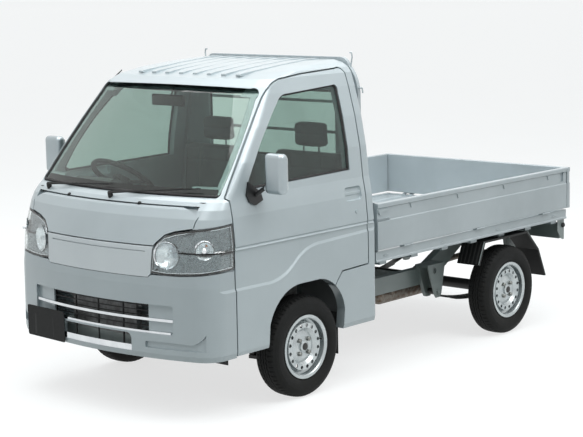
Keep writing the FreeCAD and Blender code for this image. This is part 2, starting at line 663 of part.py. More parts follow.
def steering_wheel():
    axis = steering_axis()
    rim = Part.makeTorus(182, 14, STEER_CENTRE, axis)
    hub = rod(STEER_CENTRE - axis * 42, STEER_CENTRE - axis * 2, 58)
    spokes = []
    down = axis.cross(V(1, 0, 0))
    for direction in (V(1, 0, 0), V(-1, 0, 0), down):
        start = STEER_CENTRE - axis * 18
        spokes.append(rod(start, start + direction * 176 + axis * 12, 11))
    return joined([rim, hub] + spokes)


def steering_column():
    axis = steering_axis()
    top = STEER_CENTRE - axis * 48
    shroud = rod(top, top - axis * 130, 46)
    shaft = rod(top - axis * 129, top - axis * 630, 20)
    shaft = shaft.cut(block(-600, 0, NOSE_Y, DASH_PANEL_Y + 0.8, 300, 1100))
    stalks = [rod(top - axis * 40, top - axis * 36 + V(side * 150, 0, 8), 7) for side in (-1, 1)]
    return joined([shroud, shaft] + stalks)


def seat(side):
    """Cushion and back of one seat, standing on the platform."""
    x0, x1 = sorted((side * 95, side * 610))
    cushion = rounded(x0, x1, -960, -450, 651, 765, 34)
    back = prism("x", [(-470, 790), (-455, 770), (-352, 770), (-318, 1230), (-330, 1250), (-405, 1250),
                       (-420, 1235)], x0 + 12, x1 - 12)
    middle = (x0 + x1) / 2
    head = prism("x", [(-405, 1262), (-410, 1400), (-332, 1408), (-322, 1262)], middle - 110, middle + 110)
    return cushion, back, head


# Wheels

def tyre(centre_x, axle_y):
    half = TYRE_WIDTH / 2
    shoulder = 14.0
    rim = RIM_WIDTH / 2 - 6
    wall = [(half - 30, TYRE_RADIUS), (half - 6, TYRE_RADIUS - shoulder), (half, 222), (half - 2, 198),
            (rim + 1, RIM_FLANGE_RADIUS + 3), (rim, BEAD_RADIUS + SEAT_GAP)]
    points = wall + [(-across, radius) for across, radius in reversed(wall)]
    return turned(points, V(centre_x, axle_y, TYRE_RADIUS), V(1, 0, 0))


def rim(centre_x, axle_y, side):
    """Pressed steel wheel with its ring of holes, hub, nuts and brake drum; side is +1 on the left."""
    half = RIM_WIDTH / 2
    seat = BEAD_RADIUS
    well = 134.0
    t = RIM_METAL
    barrel = [(-half + t, RIM_FLANGE_RADIUS), (-half + t, seat), (-half + 32, seat), (-half + 42, well),
              (half - 46, well), (half - 36, seat), (half - t, seat), (half - t, RIM_FLANGE_RADIUS),
              (half, RIM_FLANGE_RADIUS), (half, seat), (half - t, seat - t), (half - 39, seat - t),
              (half - 49, well - t), (-half + 45, well - t), (-half + 35, seat - t), (-half + t, seat - t),
              (-half, seat), (-half, RIM_FLANGE_RADIUS)]
    disc = [(half - 54, well - 3), (half - 30, well - 3), (half - 14, 126), (half - 14, 100), (half - 30, 84),
            (half - 20, 64), (half - 20, 24), (half - 26, 24), (half - 26, 62), (half - 37, 84),
            (half - 20, 100), (half - 20, 125), (half - 33, well - 9), (half - 54, well - 9)]
    centre = V(centre_x, axle_y, TYRE_RADIUS)
    axis = V(side, 0, 0)
    body = turned(barrel, centre, axis).fuse(turned(disc, centre, axis))
    holes = []
    for index in range(VENT_COUNT):
        angle = 2 * math.pi * (index + 0.5) / VENT_COUNT
        spot = centre + V(0, math.cos(angle), math.sin(angle)) * 113
        holes.append(rod(spot + axis * (half - 40), spot + axis * (half + 10), VENT_RADIUS))
    body = body.cut(holes)
    bore = SPINDLE_RADIUS + PIN_CLEARANCE
    drum = turned([(half - 94, bore), (half - 25, bore), (half - 25, 62), (half - 40, DRUM_RADIUS - 8),
                   (half - 48, DRUM_RADIUS), (half - 92, DRUM_RADIUS), (half - 92, 60), (half - 94, 40)],
                  centre, axis)
    cap = turned([(half - 28, 0), (half - 8, 0), (half - 8, 22), (half - 12, HUB_CAP_RADIUS - 2),
                  (half - 28, HUB_CAP_RADIUS)], centre, axis)
    nuts = []
    for index in range(STUD_COUNT):
        angle = math.pi * (index + 0.5) * 2 / STUD_COUNT
        spot = centre + V(0, math.cos(angle), math.sin(angle)) * STUD_CIRCLE
        nuts.append(rod(spot + axis * (half - 30), spot + axis * (half - 8), 9.5))
    return joined([body, drum, cap] + nuts)


# Front suspension

KING_TOP = V(505, FRONT_AXLE_Y, 612)
KING_BOTTOM = V(606, FRONT_AXLE_Y, 185)


def king_point(height):
    share = (height - KING_BOTTOM.z) / (KING_TOP.z - KING_BOTTOM.z)
    return KING_BOTTOM + (KING_TOP - KING_BOTTOM) * share


def knuckle():
    """Left knuckle with its spindle, strut tube and steering arm."""
    wheel_x = TRACK_FRONT / 2
    half = RIM_WIDTH / 2
    spindle = rod(V(wheel_x + half - 128, FRONT_AXLE_Y, TYRE_RADIUS), V(wheel_x + half - 46, FRONT_AXLE_Y, TYRE_RADIUS),
                  SPINDLE_RADIUS)
    plate = rod(V(wheel_x + half - 114, FRONT_AXLE_Y, TYRE_RADIUS), V(wheel_x + half - 106, FRONT_AXLE_Y, TYRE_RADIUS),
                76)
    upright = rod(king_point(203), king_point(345), 14)
    strut = rod(king_point(330), king_point(530), 19)
    arm = path_rod([king_point(225), V(588, FRONT_AXLE_Y + 60, 232), V(572, FRONT_AXLE_Y + 105, 232)], 9)
    return joined([upright, strut, spindle, plate, arm])


def front_suspension():
    """Crossmember, lower arms, upper strut halves with springs, and the steering rack."""
    cross = joined([block(-360, 360, FRONT_AXLE_Y - 45, FRONT_AXLE_Y + 45, 205, 250),
                    block(-RAIL_X + 4, -RAIL_X + RAIL_WIDTH + 2, FRONT_AXLE_Y - 45, FRONT_AXLE_Y + 45, 205, RAIL_BOTTOM_Z),
                    block(RAIL_X - RAIL_WIDTH - 2, RAIL_X - 4, FRONT_AXLE_Y - 45, FRONT_AXLE_Y + 45, 205, RAIL_BOTTOM_Z)])
    arms = []
    for side in (-1, 1):
        plan = [(side * 350, FRONT_AXLE_Y - 55), (side * 588, FRONT_AXLE_Y - 20), (side * 588, FRONT_AXLE_Y + 20),
                (side * 350, FRONT_AXLE_Y + 55)]
        arms.append(prism("z", plan, 168, 186))
        inner, outer = sorted((side * 340, side * 372))
        arms.append(block(inner, outer, FRONT_AXLE_Y - 40, FRONT_AXLE_Y + 40, 180, 215))
    rack = rod(V(-330, FRONT_AXLE_Y + 80, 262), V(330, FRONT_AXLE_Y + 80, 262), 24)
    mounts = [block(x - 20, x + 20, FRONT_AXLE_Y + 40, FRONT_AXLE_Y + 80, 225, 262) for x in (-250, 250)]
    return joined([cross, rack] + arms + mounts)


def front_springs():
    """Coil springs' seats and upper mounts, under the seat platform."""
    pieces = []
    for side in (-1, 1):
        low = king_point(541)
        high = king_point(604)
        low = V(side * low.x, low.y, low.z)
        high = V(side * high.x, high.y, high.z)
        plate = block(high.x - 60, high.x + 60, high.y - 60, high.y + 60, 606, 630 - SEAT_GAP)
        pieces.append(rod(low, high, 46).fuse(plate))
    return pieces


# Ladder frame

RAIL_FRONT_LOW = 340.0
RAIL_FRONT_TOP = 425.0


def rail_profile():
    low = RAIL_BOTTOM_Z
    top = RAIL_BOTTOM_Z + RAIL_DEPTH
    rear_low = RAIL_REAR_Z - 80
    middle = (KICK_START_Y + KICK_END_Y) / 2
    return [(NOSE_Y + 82, RAIL_FRONT_LOW), (-1120, RAIL_FRONT_LOW), (-1070, low), (KICK_START_Y - 40, low),
            (middle, (low + rear_low) / 2 - 8), (KICK_END_Y, rear_low), (TAIL_Y - 57, rear_low),
            (TAIL_Y - 57, RAIL_REAR_Z), (KICK_END_Y - 20, RAIL_REAR_Z),
            (middle - 40, (top + RAIL_REAR_Z) / 2 + 8), (KICK_START_Y - 60, top), (-1090, top),
            (-1150, RAIL_FRONT_TOP), (NOSE_Y + 82, RAIL_FRONT_TOP)]


def ladder_frame():
    """Two rails with their kick-up, cross members, bed brackets and spring hangers."""
    pieces = both(prism("x", rail_profile(), RAIL_X - RAIL_WIDTH, RAIL_X))
    inner = RAIL_X - RAIL_WIDTH + 1
    pieces.append(block(-inner, inner, NOSE_Y + 84, NOSE_Y + 112, RAIL_FRONT_LOW + 5, RAIL_FRONT_LOW + 65))
    pieces.append(block(-inner, inner, 420, 470, RAIL_BOTTOM_Z + 15, RAIL_BOTTOM_Z + 75))
    for y in (KICK_END_Y + 190, TAIL_Y - 110):
        pieces.append(block(-inner, inner, y, y + 45, RAIL_REAR_Z - 75, RAIL_REAR_Z - 15))
    pieces.append(block(-690, 690, TAIL_Y - 60, TAIL_Y - 28, 505, 606))
    pieces += both(side_bracket())
    for y, top in ((SPRING_FRONT_Y, 480), (SPRING_REAR_Y, RAIL_REAR_Z - 30)):
        pieces += both(spring_hanger(y, top))
    for y in (-800, -500):
        for x in (-RAIL_X + 25, RAIL_X - 25):
            pieces.append(block(x - 22, x + 22, y - 30, y + 30, RAIL_BOTTOM_Z + RAIL_DEPTH - 2, 630 - SEAT_GAP))
    return joined(pieces)


def side_bracket():
    """Outrigger panel with a window, from the rail up to the bed's first cross member."""
    plate = prism("x", [(-250, 355), (-110, 372), (-96, 470), (-96, 560), (-60, 606), (-262, 606), (-262, 372)],
                  RAIL_X - 1, RAIL_X + 40)
    window = rounded(RAIL_X - 30, RAIL_X + 70, -232, -124, 460, 575, 12).cut(
        block(RAIL_X - 60, RAIL_X, -300, -100, 300, 451))
    rib = block(RAIL_X - 1, RAIL_X + 46, -242, -104, 398, 410)
    return plate.cut(window).fuse(rib)


SPRING_X = 470.0
SPRING_HALF = 25.0
SPRING_FRONT_Y = REAR_AXLE_Y - 455.0
SPRING_REAR_Y = REAR_AXLE_Y + 455.0
SPRING_EYE_Z = 308
SPRING_TOP_Z = 226.0


def spring_hanger(y, top):
    """Two cheeks either side of the spring's eye, hung from the left rail."""
    low = SPRING_EYE_Z - 34
    cheek = [(y - 100, top), (y + 74, top), (y + 36, SPRING_EYE_Z - 14), (y + 18, low), (y - 18, low),
             (y - 36, SPRING_EYE_Z - 6)]
    inner = prism("x", cheek, RAIL_X - 1, SPRING_X - SPRING_HALF - 6)
    outer = prism("x", cheek, SPRING_X + SPRING_HALF + 6, SPRING_X + SPRING_HALF + 14)
    roofing = block(RAIL_X - 1, SPRING_X + SPRING_HALF + 14, y - 99, y + 73, top - 12, top)
    hole = rod(V(SPRING_X, y - 30, top - 40), V(SPRING_X + 99, y - 30, top - 40), 17)
    bolt = rod(V(SPRING_X + SPRING_HALF + 13, y, SPRING_EYE_Z), V(SPRING_X + SPRING_HALF + 24, y, SPRING_EYE_Z), 13)
    return joined([inner, outer, roofing]).cut(hole).fuse(bolt)


def leaf_spring():
    """Left three-leaf spring under the axle, with its eyes and clamp plate."""
    x = SPRING_X
    pieces = []
    reach = SPRING_REAR_Y - REAR_AXLE_Y
    leaf = 7.0
    centre_z = SPRING_TOP_Z
    rise = SPRING_EYE_Z - 12 - centre_z
    for index, share in enumerate((1.0, 0.78, 0.54)):
        span = reach * share
        z = centre_z - (leaf - 0.6) * index
        sag = rise * share ** 2
        upper = [(REAR_AXLE_Y - span, z + sag), (REAR_AXLE_Y, z, REAR_AXLE_Y + span, z + sag),
                 (REAR_AXLE_Y + span, z + sag - leaf), (REAR_AXLE_Y, z - leaf, REAR_AXLE_Y - span, z + sag - leaf)]
        pieces.append(prism("x", upper, x - SPRING_HALF, x + SPRING_HALF))
    for y in (SPRING_FRONT_Y, SPRING_REAR_Y):
        pieces.append(rod(V(x - SPRING_HALF - 5, y, SPRING_EYE_Z), V(x + SPRING_HALF + 5, y, SPRING_EYE_Z), 7))
        pieces.append(rod(V(x - SPRING_HALF, y, SPRING_EYE_Z), V(x + SPRING_HALF, y, SPRING_EYE_Z), 18))
    pieces.append(block(x - 30, x + 30, REAR_AXLE_Y - 50, REAR_AXLE_Y + 50, centre_z - 3 * leaf - 8, centre_z - leaf))
    return joined(pieces)


def rear_axle():
    wheel_x = TRACK_REAR / 2
    half = RIM_WIDTH / 2
    beam_half = wheel_x + half - 124
    case_x = 60
    beam = turned([(-beam_half, 0), (-beam_half, 33), (case_x - 125, 33), (case_x - 75, 62),
                   (case_x, 98, case_x + 75, 62), (case_x + 125, 33), (beam_half, 33), (beam_half, 0)],
                  V(0, REAR_AXLE_Y, TYRE_RADIUS), V(1, 0, 0))
    nose = Part.makeCone(70, 34, 130, V(60, REAR_AXLE_Y - 60, TYRE_RADIUS), V(0, -1, 0))
    end = wheel_x + half

    def across(from_x, to_x, radius):
        return both(rod(V(from_x, REAR_AXLE_Y, TYRE_RADIUS), V(to_x, REAR_AXLE_Y, TYRE_RADIUS), radius))

    ends = across(end - 130, end - 46, SPINDLE_RADIUS)
    plates = across(end - 114, end - 106, 90)
    seats = [block(x - 24, x + 24, REAR_AXLE_Y - 38, REAR_AXLE_Y + 38, SPRING_TOP_Z + 0.8, 262)
             for x in (-SPRING_X, SPRING_X)]
    return joined([beam, nose] + ends + plates + seats)


# Drive train and underbody

def engine_block():
    return rounded(-300, 300, -960, -440, 300, 560, 20)


def gearbox():
    body = [rod(V(0, -440 + SEAT_GAP, 400), V(0, -330, 400), 150), rod(V(0, -340, 390), V(0, -60, 380), 92),
            rod(V(0, -80, 380), V(0, -20, 380), 45)]
    side = RAIL_X - RAIL_WIDTH - SEAT_GAP
    return joined(body + [block(-side, side, -250, -220, 380, 412)])


def propshaft():
    start = V(0, -20 + SEAT_GAP, 380)
    end = V(60, REAR_AXLE_Y - 190 - SEAT_GAP, TYRE_RADIUS)
    joints = [Part.makeSphere(38, start + V(3, 45, -6)), Part.makeSphere(38, end - V(3, 45, -6))]
    shaft = rod(start, end, 30).cut([block(-99, 99, -200, start.y, 0, 600), block(-99, 199, end.y, 1400, 0, 600)])
    return joined([shaft] + joints)


def radiator():
    core = block(-240, 240, -1620, -1584, RAIL_FRONT_LOW + 65 + SEAT_GAP, 650)
    wall = DASH_PANEL_Y - DASH_PANEL_WALL - SEAT_GAP
    hangers = [block(x - 14, x + 14, -1610, wall, 560, 590) for x in (-252, 252)]
    return joined([core] + hangers)


def fuel_tank():
    tank = rounded(-RAIL_X - 255, -RAIL_X - 12, -40, 482, 355, 590, 28)
    straps = [block(-RAIL_X - 258, -RAIL_X - SEAT_GAP, y, y + 36, 395, 420) for y in (60, 380)]
    return joined([tank] + straps)


def exhaust():
    pipe = path_rod([V(326, -600, 330), V(326, -380, 316), V(262, 100, 312), V(250, 260, 305)], 20)
    silencer = rounded(165, 335, 250, 720, 256, 350, 40)
    tail = path_rod([V(250, 705, 312), V(290, 860, 420), V(300, 1250, 440), V(330, 1560, 380), V(330, 1640, 360)], 18)
    hangers = [block(330, RAIL_X - RAIL_WIDTH + 20, y, y + 20, 322, RAIL_BOTTOM_Z - SEAT_GAP) for y in (300, 560)]
    return joined([pipe, silencer, tail] + hangers)


def mudguards():
    """Rear inner arches over the tyres with their flaps, and the front flaps."""
    pieces = []
    for side in (-1, 1):
        x0, x1 = sorted((side * 560, side * 720))
        arch = [(REAR_AXLE_Y - 330, 470), (REAR_AXLE_Y - 268, 608), (REAR_AXLE_Y + 190, 608),
                (REAR_AXLE_Y + 318, 480), (REAR_AXLE_Y + 398, 300), (REAR_AXLE_Y + 386, 300),
                (REAR_AXLE_Y + 306, 476), (REAR_AXLE_Y + 184, 596), (REAR_AXLE_Y - 260, 596),
                (REAR_AXLE_Y - 318, 466)]
        pieces.append(prism("x", arch, x0, x1))
    return pieces


def mud_flaps():
    y = FRONT_AXLE_Y + 310
    return both(block(RAIL_X + 60, 676, y - 6 - SEAT_GAP, y - SEAT_GAP, 170, 400))


def rear_lamps():
    """Tail lamp boxes and their end brackets on the rear beam."""
    lamps = both(rounded(470, 672, TAIL_Y - 28 + SEAT_GAP, TAIL_Y - 14, 520, 595, 5))
    return lamps


# Bed

def gate_profile(outer, hinge_side=1):
    """Section of a gate as (across, up): across grows outward."""
    inner = outer - GATE_THICKNESS
    low = GATE_BOTTOM_Z
    top = GATE_TOP_Z
    return [(inner, low), (outer - 2, low), (outer, low + 4), (outer, 858), (outer - 5, 863), (outer - 5, 930),
            (outer + 1.5, 936), (outer + 1.5, top - 5), (outer - 1, top), (inner + 3, top), (inner, top - 4)]


def side_gate():
    """The left gate: pressed section with hooks, latches and hinge knuckles."""
    y0 = BED_FRONT_Y
    y1 = TAIL_Y - GATE_THICKNESS - GATE_GAP - 1.5
    body = prism("y", gate_profile(GATE_OUTER_X), y0, y1)
    pocket = block(GATE_OUTER_X - 14, GATE_OUTER_X + 5, y1 - 72, y1 - 34, 876, 936)
    body = body.cut(pocket)
    pieces = [body]
    x = GATE_OUTER_X - 2
    for y in (37, 486, 958, 1442):
        pieces.append(path_rod([V(x - 3, y - 16, 934), V(x, y, 928), V(x, y + 6, 905)], 3))
    pieces.append(block(GATE_OUTER_X - 8, GATE_OUTER_X + 1.5, y0 + 4, y0 + 95, 912, 926))
    pieces.append(rod(V(x - 6, y0 + 26, 908), V(x + 4, y0 + 26, 908), 14))
    for z in (866, 872):
        pieces.append(block(GATE_OUTER_X - 8, GATE_OUTER_X + 1, y0 + 4, y0 + 110, z, z + 3))
    for y in hinge_places():
        pieces.append(knuckle_tab(V(hinge_x(), y, hinge_z()), "y"))
    return joined(pieces)


def hinge_x():
    return GATE_OUTER_X - GATE_HINGE_INSET


def hinge_z():
    return GATE_BOTTOM_Z - GATE_HINGE_DROP


def hinge_places():
    span = TAIL_Y - BED_FRONT_Y
    return [BED_FRONT_Y + span * share for share in (0.14, 0.5, 0.86)]


def knuckle_tab(spot, along):
    """The gate's half of a hinge: a barrel on the axis and a tab up to the gate."""
    if along == "y":
        barrel = rod(spot - V(0, 18, 0), spot + V(0, 18, 0), 4.2)
        tab = block(spot.x - 4.2, spot.x - 0.2, spot.y - 18, spot.y + 18, spot.z, GATE_BOTTOM_Z + 1)
    else:
        barrel = rod(spot - V(18, 0, 0), spot + V(18, 0, 0), 4.2)
        tab = block(spot.x - 18, spot.x + 18, spot.y - 4.2, spot.y - 0.2, spot.z, GATE_BOTTOM_Z + 1)
    return joined([barrel, tab])


def hinge_ears(spot, along):
    """The bed's half: a barrel each side of the gate's, with an arm back to the sill."""
    arm = [(-29, -8), (-16, -8), (-2.5, -3), (0, 0), (-1.5, 3), (-29, -1)]
    pieces = []
    for side in (-1, 1):
        if along == "y":
            centre = spot + V(0, side * 30, 0)
            pieces.append(rod(centre - V(0, 11, 0), centre + V(0, 11, 0), 4.2))
            outline_xz = [(spot.x + a, spot.z + b) for a, b in arm]
            pieces.append(prism("y", outline_xz, centre.y - 11, centre.y + 11))
        else:
            centre = spot + V(side * 30, 0, 0)
            pieces.append(rod(centre - V(11, 0, 0), centre + V(11, 0, 0), 4.2))
            outline_yz = [(spot.y + a, spot.z + b) for a, b in arm]
            pieces.append(prism("x", outline_yz, centre.x - 11, centre.x + 11))
    return joined(pieces)


def tailgate():
    outer = TAIL_Y - 1.5
    body = prism("x", gate_profile(outer), -GATE_OUTER_X, GATE_OUTER_X)
    pieces = [body]
    for x in (-540, 0, 540):
        pieces.append(knuckle_tab(V(x, outer - GATE_HINGE_INSET, hinge_z()), "x"))
    for x in (-360, 360):
        pieces.append(block(x - 60, x + 60, outer - 8, outer + 1, 905, 925))
    return joined(pieces)


def bed_floor():
    """Floor with pressed ribs, side and rear sills with rope hooks, and cross members."""
    rear = TAIL_Y - (BODY_HALF - SILL_X)
    front = BED_FRONT_Y
    low = BED_FLOOR_Z - FLOOR_THICKNESS
    pieces = [block(-SILL_X + 20, SILL_X - 20, front, rear - 10, low, BED_FLOOR_Z)]
    for index in range(11):
        x = (index - 5) * 118
        pieces.append(prism("y", [(x - 34, BED_FLOOR_Z - 1), (x - 26, BED_FLOOR_Z + 5), (x + 26, BED_FLOOR_Z + 5),
                                  (x + 34, BED_FLOOR_Z - 1)], front + 60, rear - 60))
    sill = [(SILL_X - 30, SILL_TOP_Z), (SILL_X, SILL_TOP_Z), (SILL_X, 646), (SILL_LIP_X, 640), (SILL_LIP_X, SILL_BOTTOM_Z),
            (SILL_X - 30, SILL_BOTTOM_Z), (SILL_X - 30, 640), (SILL_X - 8, 640), (SILL_X - 8, 660), (SILL_X - 30, 660)]
    pieces += both(prism("y", sill, front, rear))
    end = [(rear - 30 + (x - SILL_X + 30), z) for x, z in sill]
    pieces.append(prism("x", end, -SILL_X + 2, SILL_X - 2))
    for y in hook_places():
        for side in (-1, 1):
            x = side * (SILL_X - 1)
            pieces.append(path_rod([V(x, y - 14, 664), V(x + side * 7.2, y - 6, 664), V(x + side * 7.2, y + 26, 664)], HOOK_RADIUS))
    for y in range(-200, 1600, 290):
        pieces.append(block(-SILL_X + 24, SILL_X - 24, y, y + 60, RAIL_REAR_Z + SEAT_GAP, low + 1))
    for y in hinge_places():
        ear = hinge_ears(V(hinge_x(), y, hinge_z()), "y")
        pieces += both(ear)
    for x in (-540, 0, 540):
        pieces.append(hinge_ears(V(x, TAIL_Y - 1.5 - GATE_HINGE_INSET, hinge_z()), "x"))
    return joined(pieces)


HOOK_RADIUS = 2.6


def hook_places():
    return (-185, 346, 905, 1524)


def bed_front_wall():
    wall = block(-697, 697, BED_FRONT_Y + 24 + SEAT_GAP, BED_FRONT_Y + 46, BED_FLOOR_Z + SEAT_GAP, GATE_TOP_Z)
    swages = [block(-600, 600, BED_FRONT_Y + 41, BED_FRONT_Y + 50, z, z + 36) for z in (740, 810, 880)]
    sill_notches = both(block(SILL_X - 30 - SEAT_GAP, 700, BED_FRONT_Y, -200, BED_FLOOR_Z, SILL_TOP_Z + SEAT_GAP))
    return wall.cut(swages + sill_notches)


def guard_frame():
    """Arched guard behind the cab with its cross bars and rope hooks."""
    y0 = BED_FRONT_Y
    y1 = y0 + GUARD_TUBE
    foot = BED_FLOOR_Z + SEAT_GAP

    def arch(inset):
        top = GUARD_TOP_Z - inset
        return [(-612 + inset, foot), (612 - inset, foot), (606 - inset, 1562),
                (590 - inset, 1640 - inset * 0.4, 541 - inset * 0.8, 1713 - inset * 0.8),
                (520 - inset * 0.6, 1744 - inset * 0.9, 480 - inset * 0.5, top),
                (-480 + inset * 0.5, top),
                (-520 + inset * 0.6, 1744 - inset * 0.9, -541 + inset * 0.8, 1713 - inset * 0.8),
                (-590 + inset, 1640 - inset * 0.4, -606 + inset, 1562)]

    opening = arch(GUARD_TUBE)
    opening[0] = (opening[0][0], foot - 30)
    opening[1] = (opening[1][0], foot - 30)
    ring = prism("y", arch(0), y0, y1).cut(prism("y", opening, y0 - 5, y1 + 5))
    pieces = [ring]
    for z in (1150, 1330, 1500):
        pieces.append(block(-598, 598, y0 + 4, y1 - 4, z, z + 16))
    for side in (-1, 1):
        pieces.append(path_rod([V(side * 548, y0 + 12, 1700), V(side * 560, y0 + 12, 1758), V(side * 556, y0 + 12, 1781),
                                V(side * 543, y0 + 12, 1781)], 4))
        pieces.append(path_rod([V(side * 600, y0 + 12, 1590), V(side * 628, y0 + 12, 1590), V(side * 632, y0 + 12, 1562)], 4))
    return joined(pieces)


def wipers(cab):
    """Two arms with blades along the screen's base, each on its post on the cowl."""
    pieces = []
    for pivot, tip in ((V(26, -1572, COWL_Z - 14), V(500, -1469, 1166)),
                       (V(-524, -1512, COWL_Z - 14), V(-60, -1526, 1158))):
        post = rod(pivot - V(0, 0, 10), pivot + V(0, -8, 26), 15).cut(moved(cab.body, y=-SEAT_GAP, z=SEAT_GAP))
        heel = pivot + V(0, -7, 20)
        arm = rod(heel, tip, 4.5)
        blade = rod(tip + (heel - tip) * 0.78, tip + (tip - heel) * 0.12, 7)
        pieces.append(joined([post, arm, blade]))
    return pieces


def main():
    os.makedirs("parts", exist_ok=True)
    cab = Cab()
    save("cab_roof", roof(cab))
    save("cab_rear_wall", rear_wall(cab))
    save("cab_sides", cab_sides(cab))
    save("cab_front_panel", front_panel(cab))
    save("front_bumper", bumper(cab))
    save("grille_bars", grille_bars(cab))
    save("grille_backing", grille_backing(cab))
    save("front_garnish", garnish(cab))
    save("front_lid", lid(cab))
    lens, housing = lamp_parts(cab)
    save("headlamp_lenses", both(lens))
    save("headlamp_housings", both(housing))
    flange_form = cab_form(DOOR_FLANGE, DOOR_FLANGE, DOOR_FLANGE, -10, 20, 10)
    left_door = door(cab, flange_form)
    forms = glass_forms()
    door_pane = pane(forms, prism("x", WINDOW_OUTLINE, 500, BODY_HALF + 30, -SEAT_GAP))
    left_mirror = mirror(cab)
    for name, pieces in (("left", 0), ("right", 1)):
        save("door_" + name, both(left_door)[pieces])
        save("door_glass_" + name, both(door_pane)[pieces])
        save("door_mirror_" + name, both(left_mirror)[pieces])
    seated = drawn_in(SCREEN_OUTLINE, (COWL_Z + SCREEN_TOP_Z) / 2, SEAT_GAP)
    screen = pane(forms, prism("y", seated, NOSE_Y, -850))
    back_pane = pane(forms, rear_window_prism(CAB_TAIL_Y - 60, CAB_TAIL_Y + 30, SEAT_GAP))
    save("cab_glass", [screen, back_pane])
    save("cab_floor", cab_floor(cab))
    save("dashboard", dashboard(cab))
    save("steering_wheel", steering_wheel())
    save("steering_column", steering_column())
    save("seats", [part for side in (1, -1) for part in seat(side)])
    shapes = {"tyre": tyre(0.0, 0.0), "rim": rim(0.0, 0.0, 1)}
    for end, axle_y, track in (("front", FRONT_AXLE_Y, TRACK_FRONT), ("rear", REAR_AXLE_Y, TRACK_REAR)):
        for kind, shape in shapes.items():
            placed = moved(shape, track / 2, axle_y)
            save(f"{kind}_{end}_left", placed)
            save(f"{kind}_{end}_right", mirrored(placed))
    for name, index in (("left", 0), ("right", 1)):
        save("front_knuckle_" + name, both(knuckle())[index])
    save("front_suspension", [front_suspension()] + front_springs())
    save("ladder_frame", ladder_frame())
    save("leaf_springs", both(leaf_spring()))
    save("rear_axle", rear_axle())
    save("engine_block", engine_block())
    save("gearbox_and_shaft", [gearbox(), propshaft()])
    save("radiator", radiator())
    save("fuel_tank", fuel_tank())
    save("exhaust", exhaust())
    save("mudguards", mudguards() + mud_flaps())
    save("rear_lamps", rear_lamps())
    save("bed_floor", bed_floor())
    save("bed_front_wall", bed_front_wall())
    save("guard_frame", guard_frame())
    gate = side_gate()
    save("side_gate_left", gate)
    save("side_gate_right", mirrored(gate))
    save("tailgate", tailgate())
    save("wipers", wipers(cab))


main()
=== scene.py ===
import json
import math

import bmesh
import bpy
import numpy as np
from mathutils import Matrix, Vector
from mathutils.bvhtree import BVHTree


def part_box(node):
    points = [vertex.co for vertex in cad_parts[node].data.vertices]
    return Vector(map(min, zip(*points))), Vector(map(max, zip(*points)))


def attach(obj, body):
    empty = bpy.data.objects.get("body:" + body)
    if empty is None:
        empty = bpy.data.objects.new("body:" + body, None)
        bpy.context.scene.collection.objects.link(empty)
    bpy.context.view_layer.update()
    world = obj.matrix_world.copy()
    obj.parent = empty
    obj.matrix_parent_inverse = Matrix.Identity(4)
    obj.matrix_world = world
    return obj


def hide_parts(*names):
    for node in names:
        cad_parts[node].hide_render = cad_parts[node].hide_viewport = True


# A small silver truck, cab over the front wheels, with a drop-side bed.
# Same frame as the solids: +Z up from the ground, the nose towards -Y, the vehicle's left on +X.
# Sizes and places are in millimetres and angles in degrees; `at` and MM turn them into metres.

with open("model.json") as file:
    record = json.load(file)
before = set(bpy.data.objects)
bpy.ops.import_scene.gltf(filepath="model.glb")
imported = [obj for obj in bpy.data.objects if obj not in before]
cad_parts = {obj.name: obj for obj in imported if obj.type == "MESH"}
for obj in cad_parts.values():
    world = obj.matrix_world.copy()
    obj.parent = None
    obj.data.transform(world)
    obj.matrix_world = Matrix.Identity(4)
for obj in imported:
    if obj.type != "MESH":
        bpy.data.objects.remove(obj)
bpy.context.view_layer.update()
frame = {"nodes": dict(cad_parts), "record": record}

MM = 0.001
SIDES = (("left", 1), ("right", -1))
UP, AHEAD, BEHIND, OUTWARD = Vector((0, 0, 1)), Vector((0, -1, 0)), Vector((0, 1, 0)), Vector((1, 0, 0))


def at(x, y, z):
    """A point given in millimetres."""
    return Vector((x, y, z)) * MM


def mirrored(side, spot):
    """A place or a way that is given for the left side, on the side that is asked for."""
    return Vector((side * spot[0], spot[1], spot[2]))


def linear(code):
    """An sRGB hex colour as the linear numbers that a shader takes."""
    shares = [int(code[i:i + 2], 16) / 255 for i in (1, 3, 5)]
    return [s / 12.92 if s <= 0.04045 else ((s + 0.055) / 1.055) ** 2.4 for s in shares] + [1.0]


def add(tree, kind, settings=(), links=()):
    """Adds one shader node with its settings and its links, each (input, source node, output)."""
    made = tree.nodes.new("ShaderNode" + kind)
    for key, value in dict(settings).items():
        if isinstance(key, int) or key in made.inputs:
            made.inputs[key].default_value = value
        else:
            setattr(made, key, value)
    for socket, source, output in links:
        tree.links.new(source.outputs[output], made.inputs[socket])
    return made


def per_metre(size_mm):
    """Pattern scale for one repeat in so many millimetres."""
    return 1.0 / (size_mm * MM)


# Materials

# Road dust: its colour, and the heights in metres between which it thins out
DUST_ON_PAINT = ("#a39d92", 0.1, 0.9)
DUST_BELOW = ("#8f8a80", 0.05, 0.75)
DUST_CLOUD = 60
PAINT_PATCH, GLASS_PATCH = 420, 300
FLAKE_DRAWN, PEEL_DEEP = 1.6, 0.006

# The tail lens is clear inside the first edge and amber outside the second; its flutes' width and depth
CLEAR_ENDS, AMBER_STARTS = 470.0, 560.0
LENS_FLUTE, LENS_FLUTE_DEEP = 4, 0.4
WAVES_PER_UNIT = 3.2

# How far out from the middle the mirror's painted head begins
MIRROR_HEAD_EDGE = 768.0

KNIT_CELL_DRAWN, KNIT_CREASE_DEEP = 4, 0.35


def started(name):
    """A new material with only its output, and the object coordinates that its patterns use."""
    made = bpy.data.materials.new(name)
    made.use_nodes = True
    tree = made.node_tree
    tree.nodes.clear()
    return made, tree, add(tree, "OutputMaterial"), add(tree, "TexCoord")


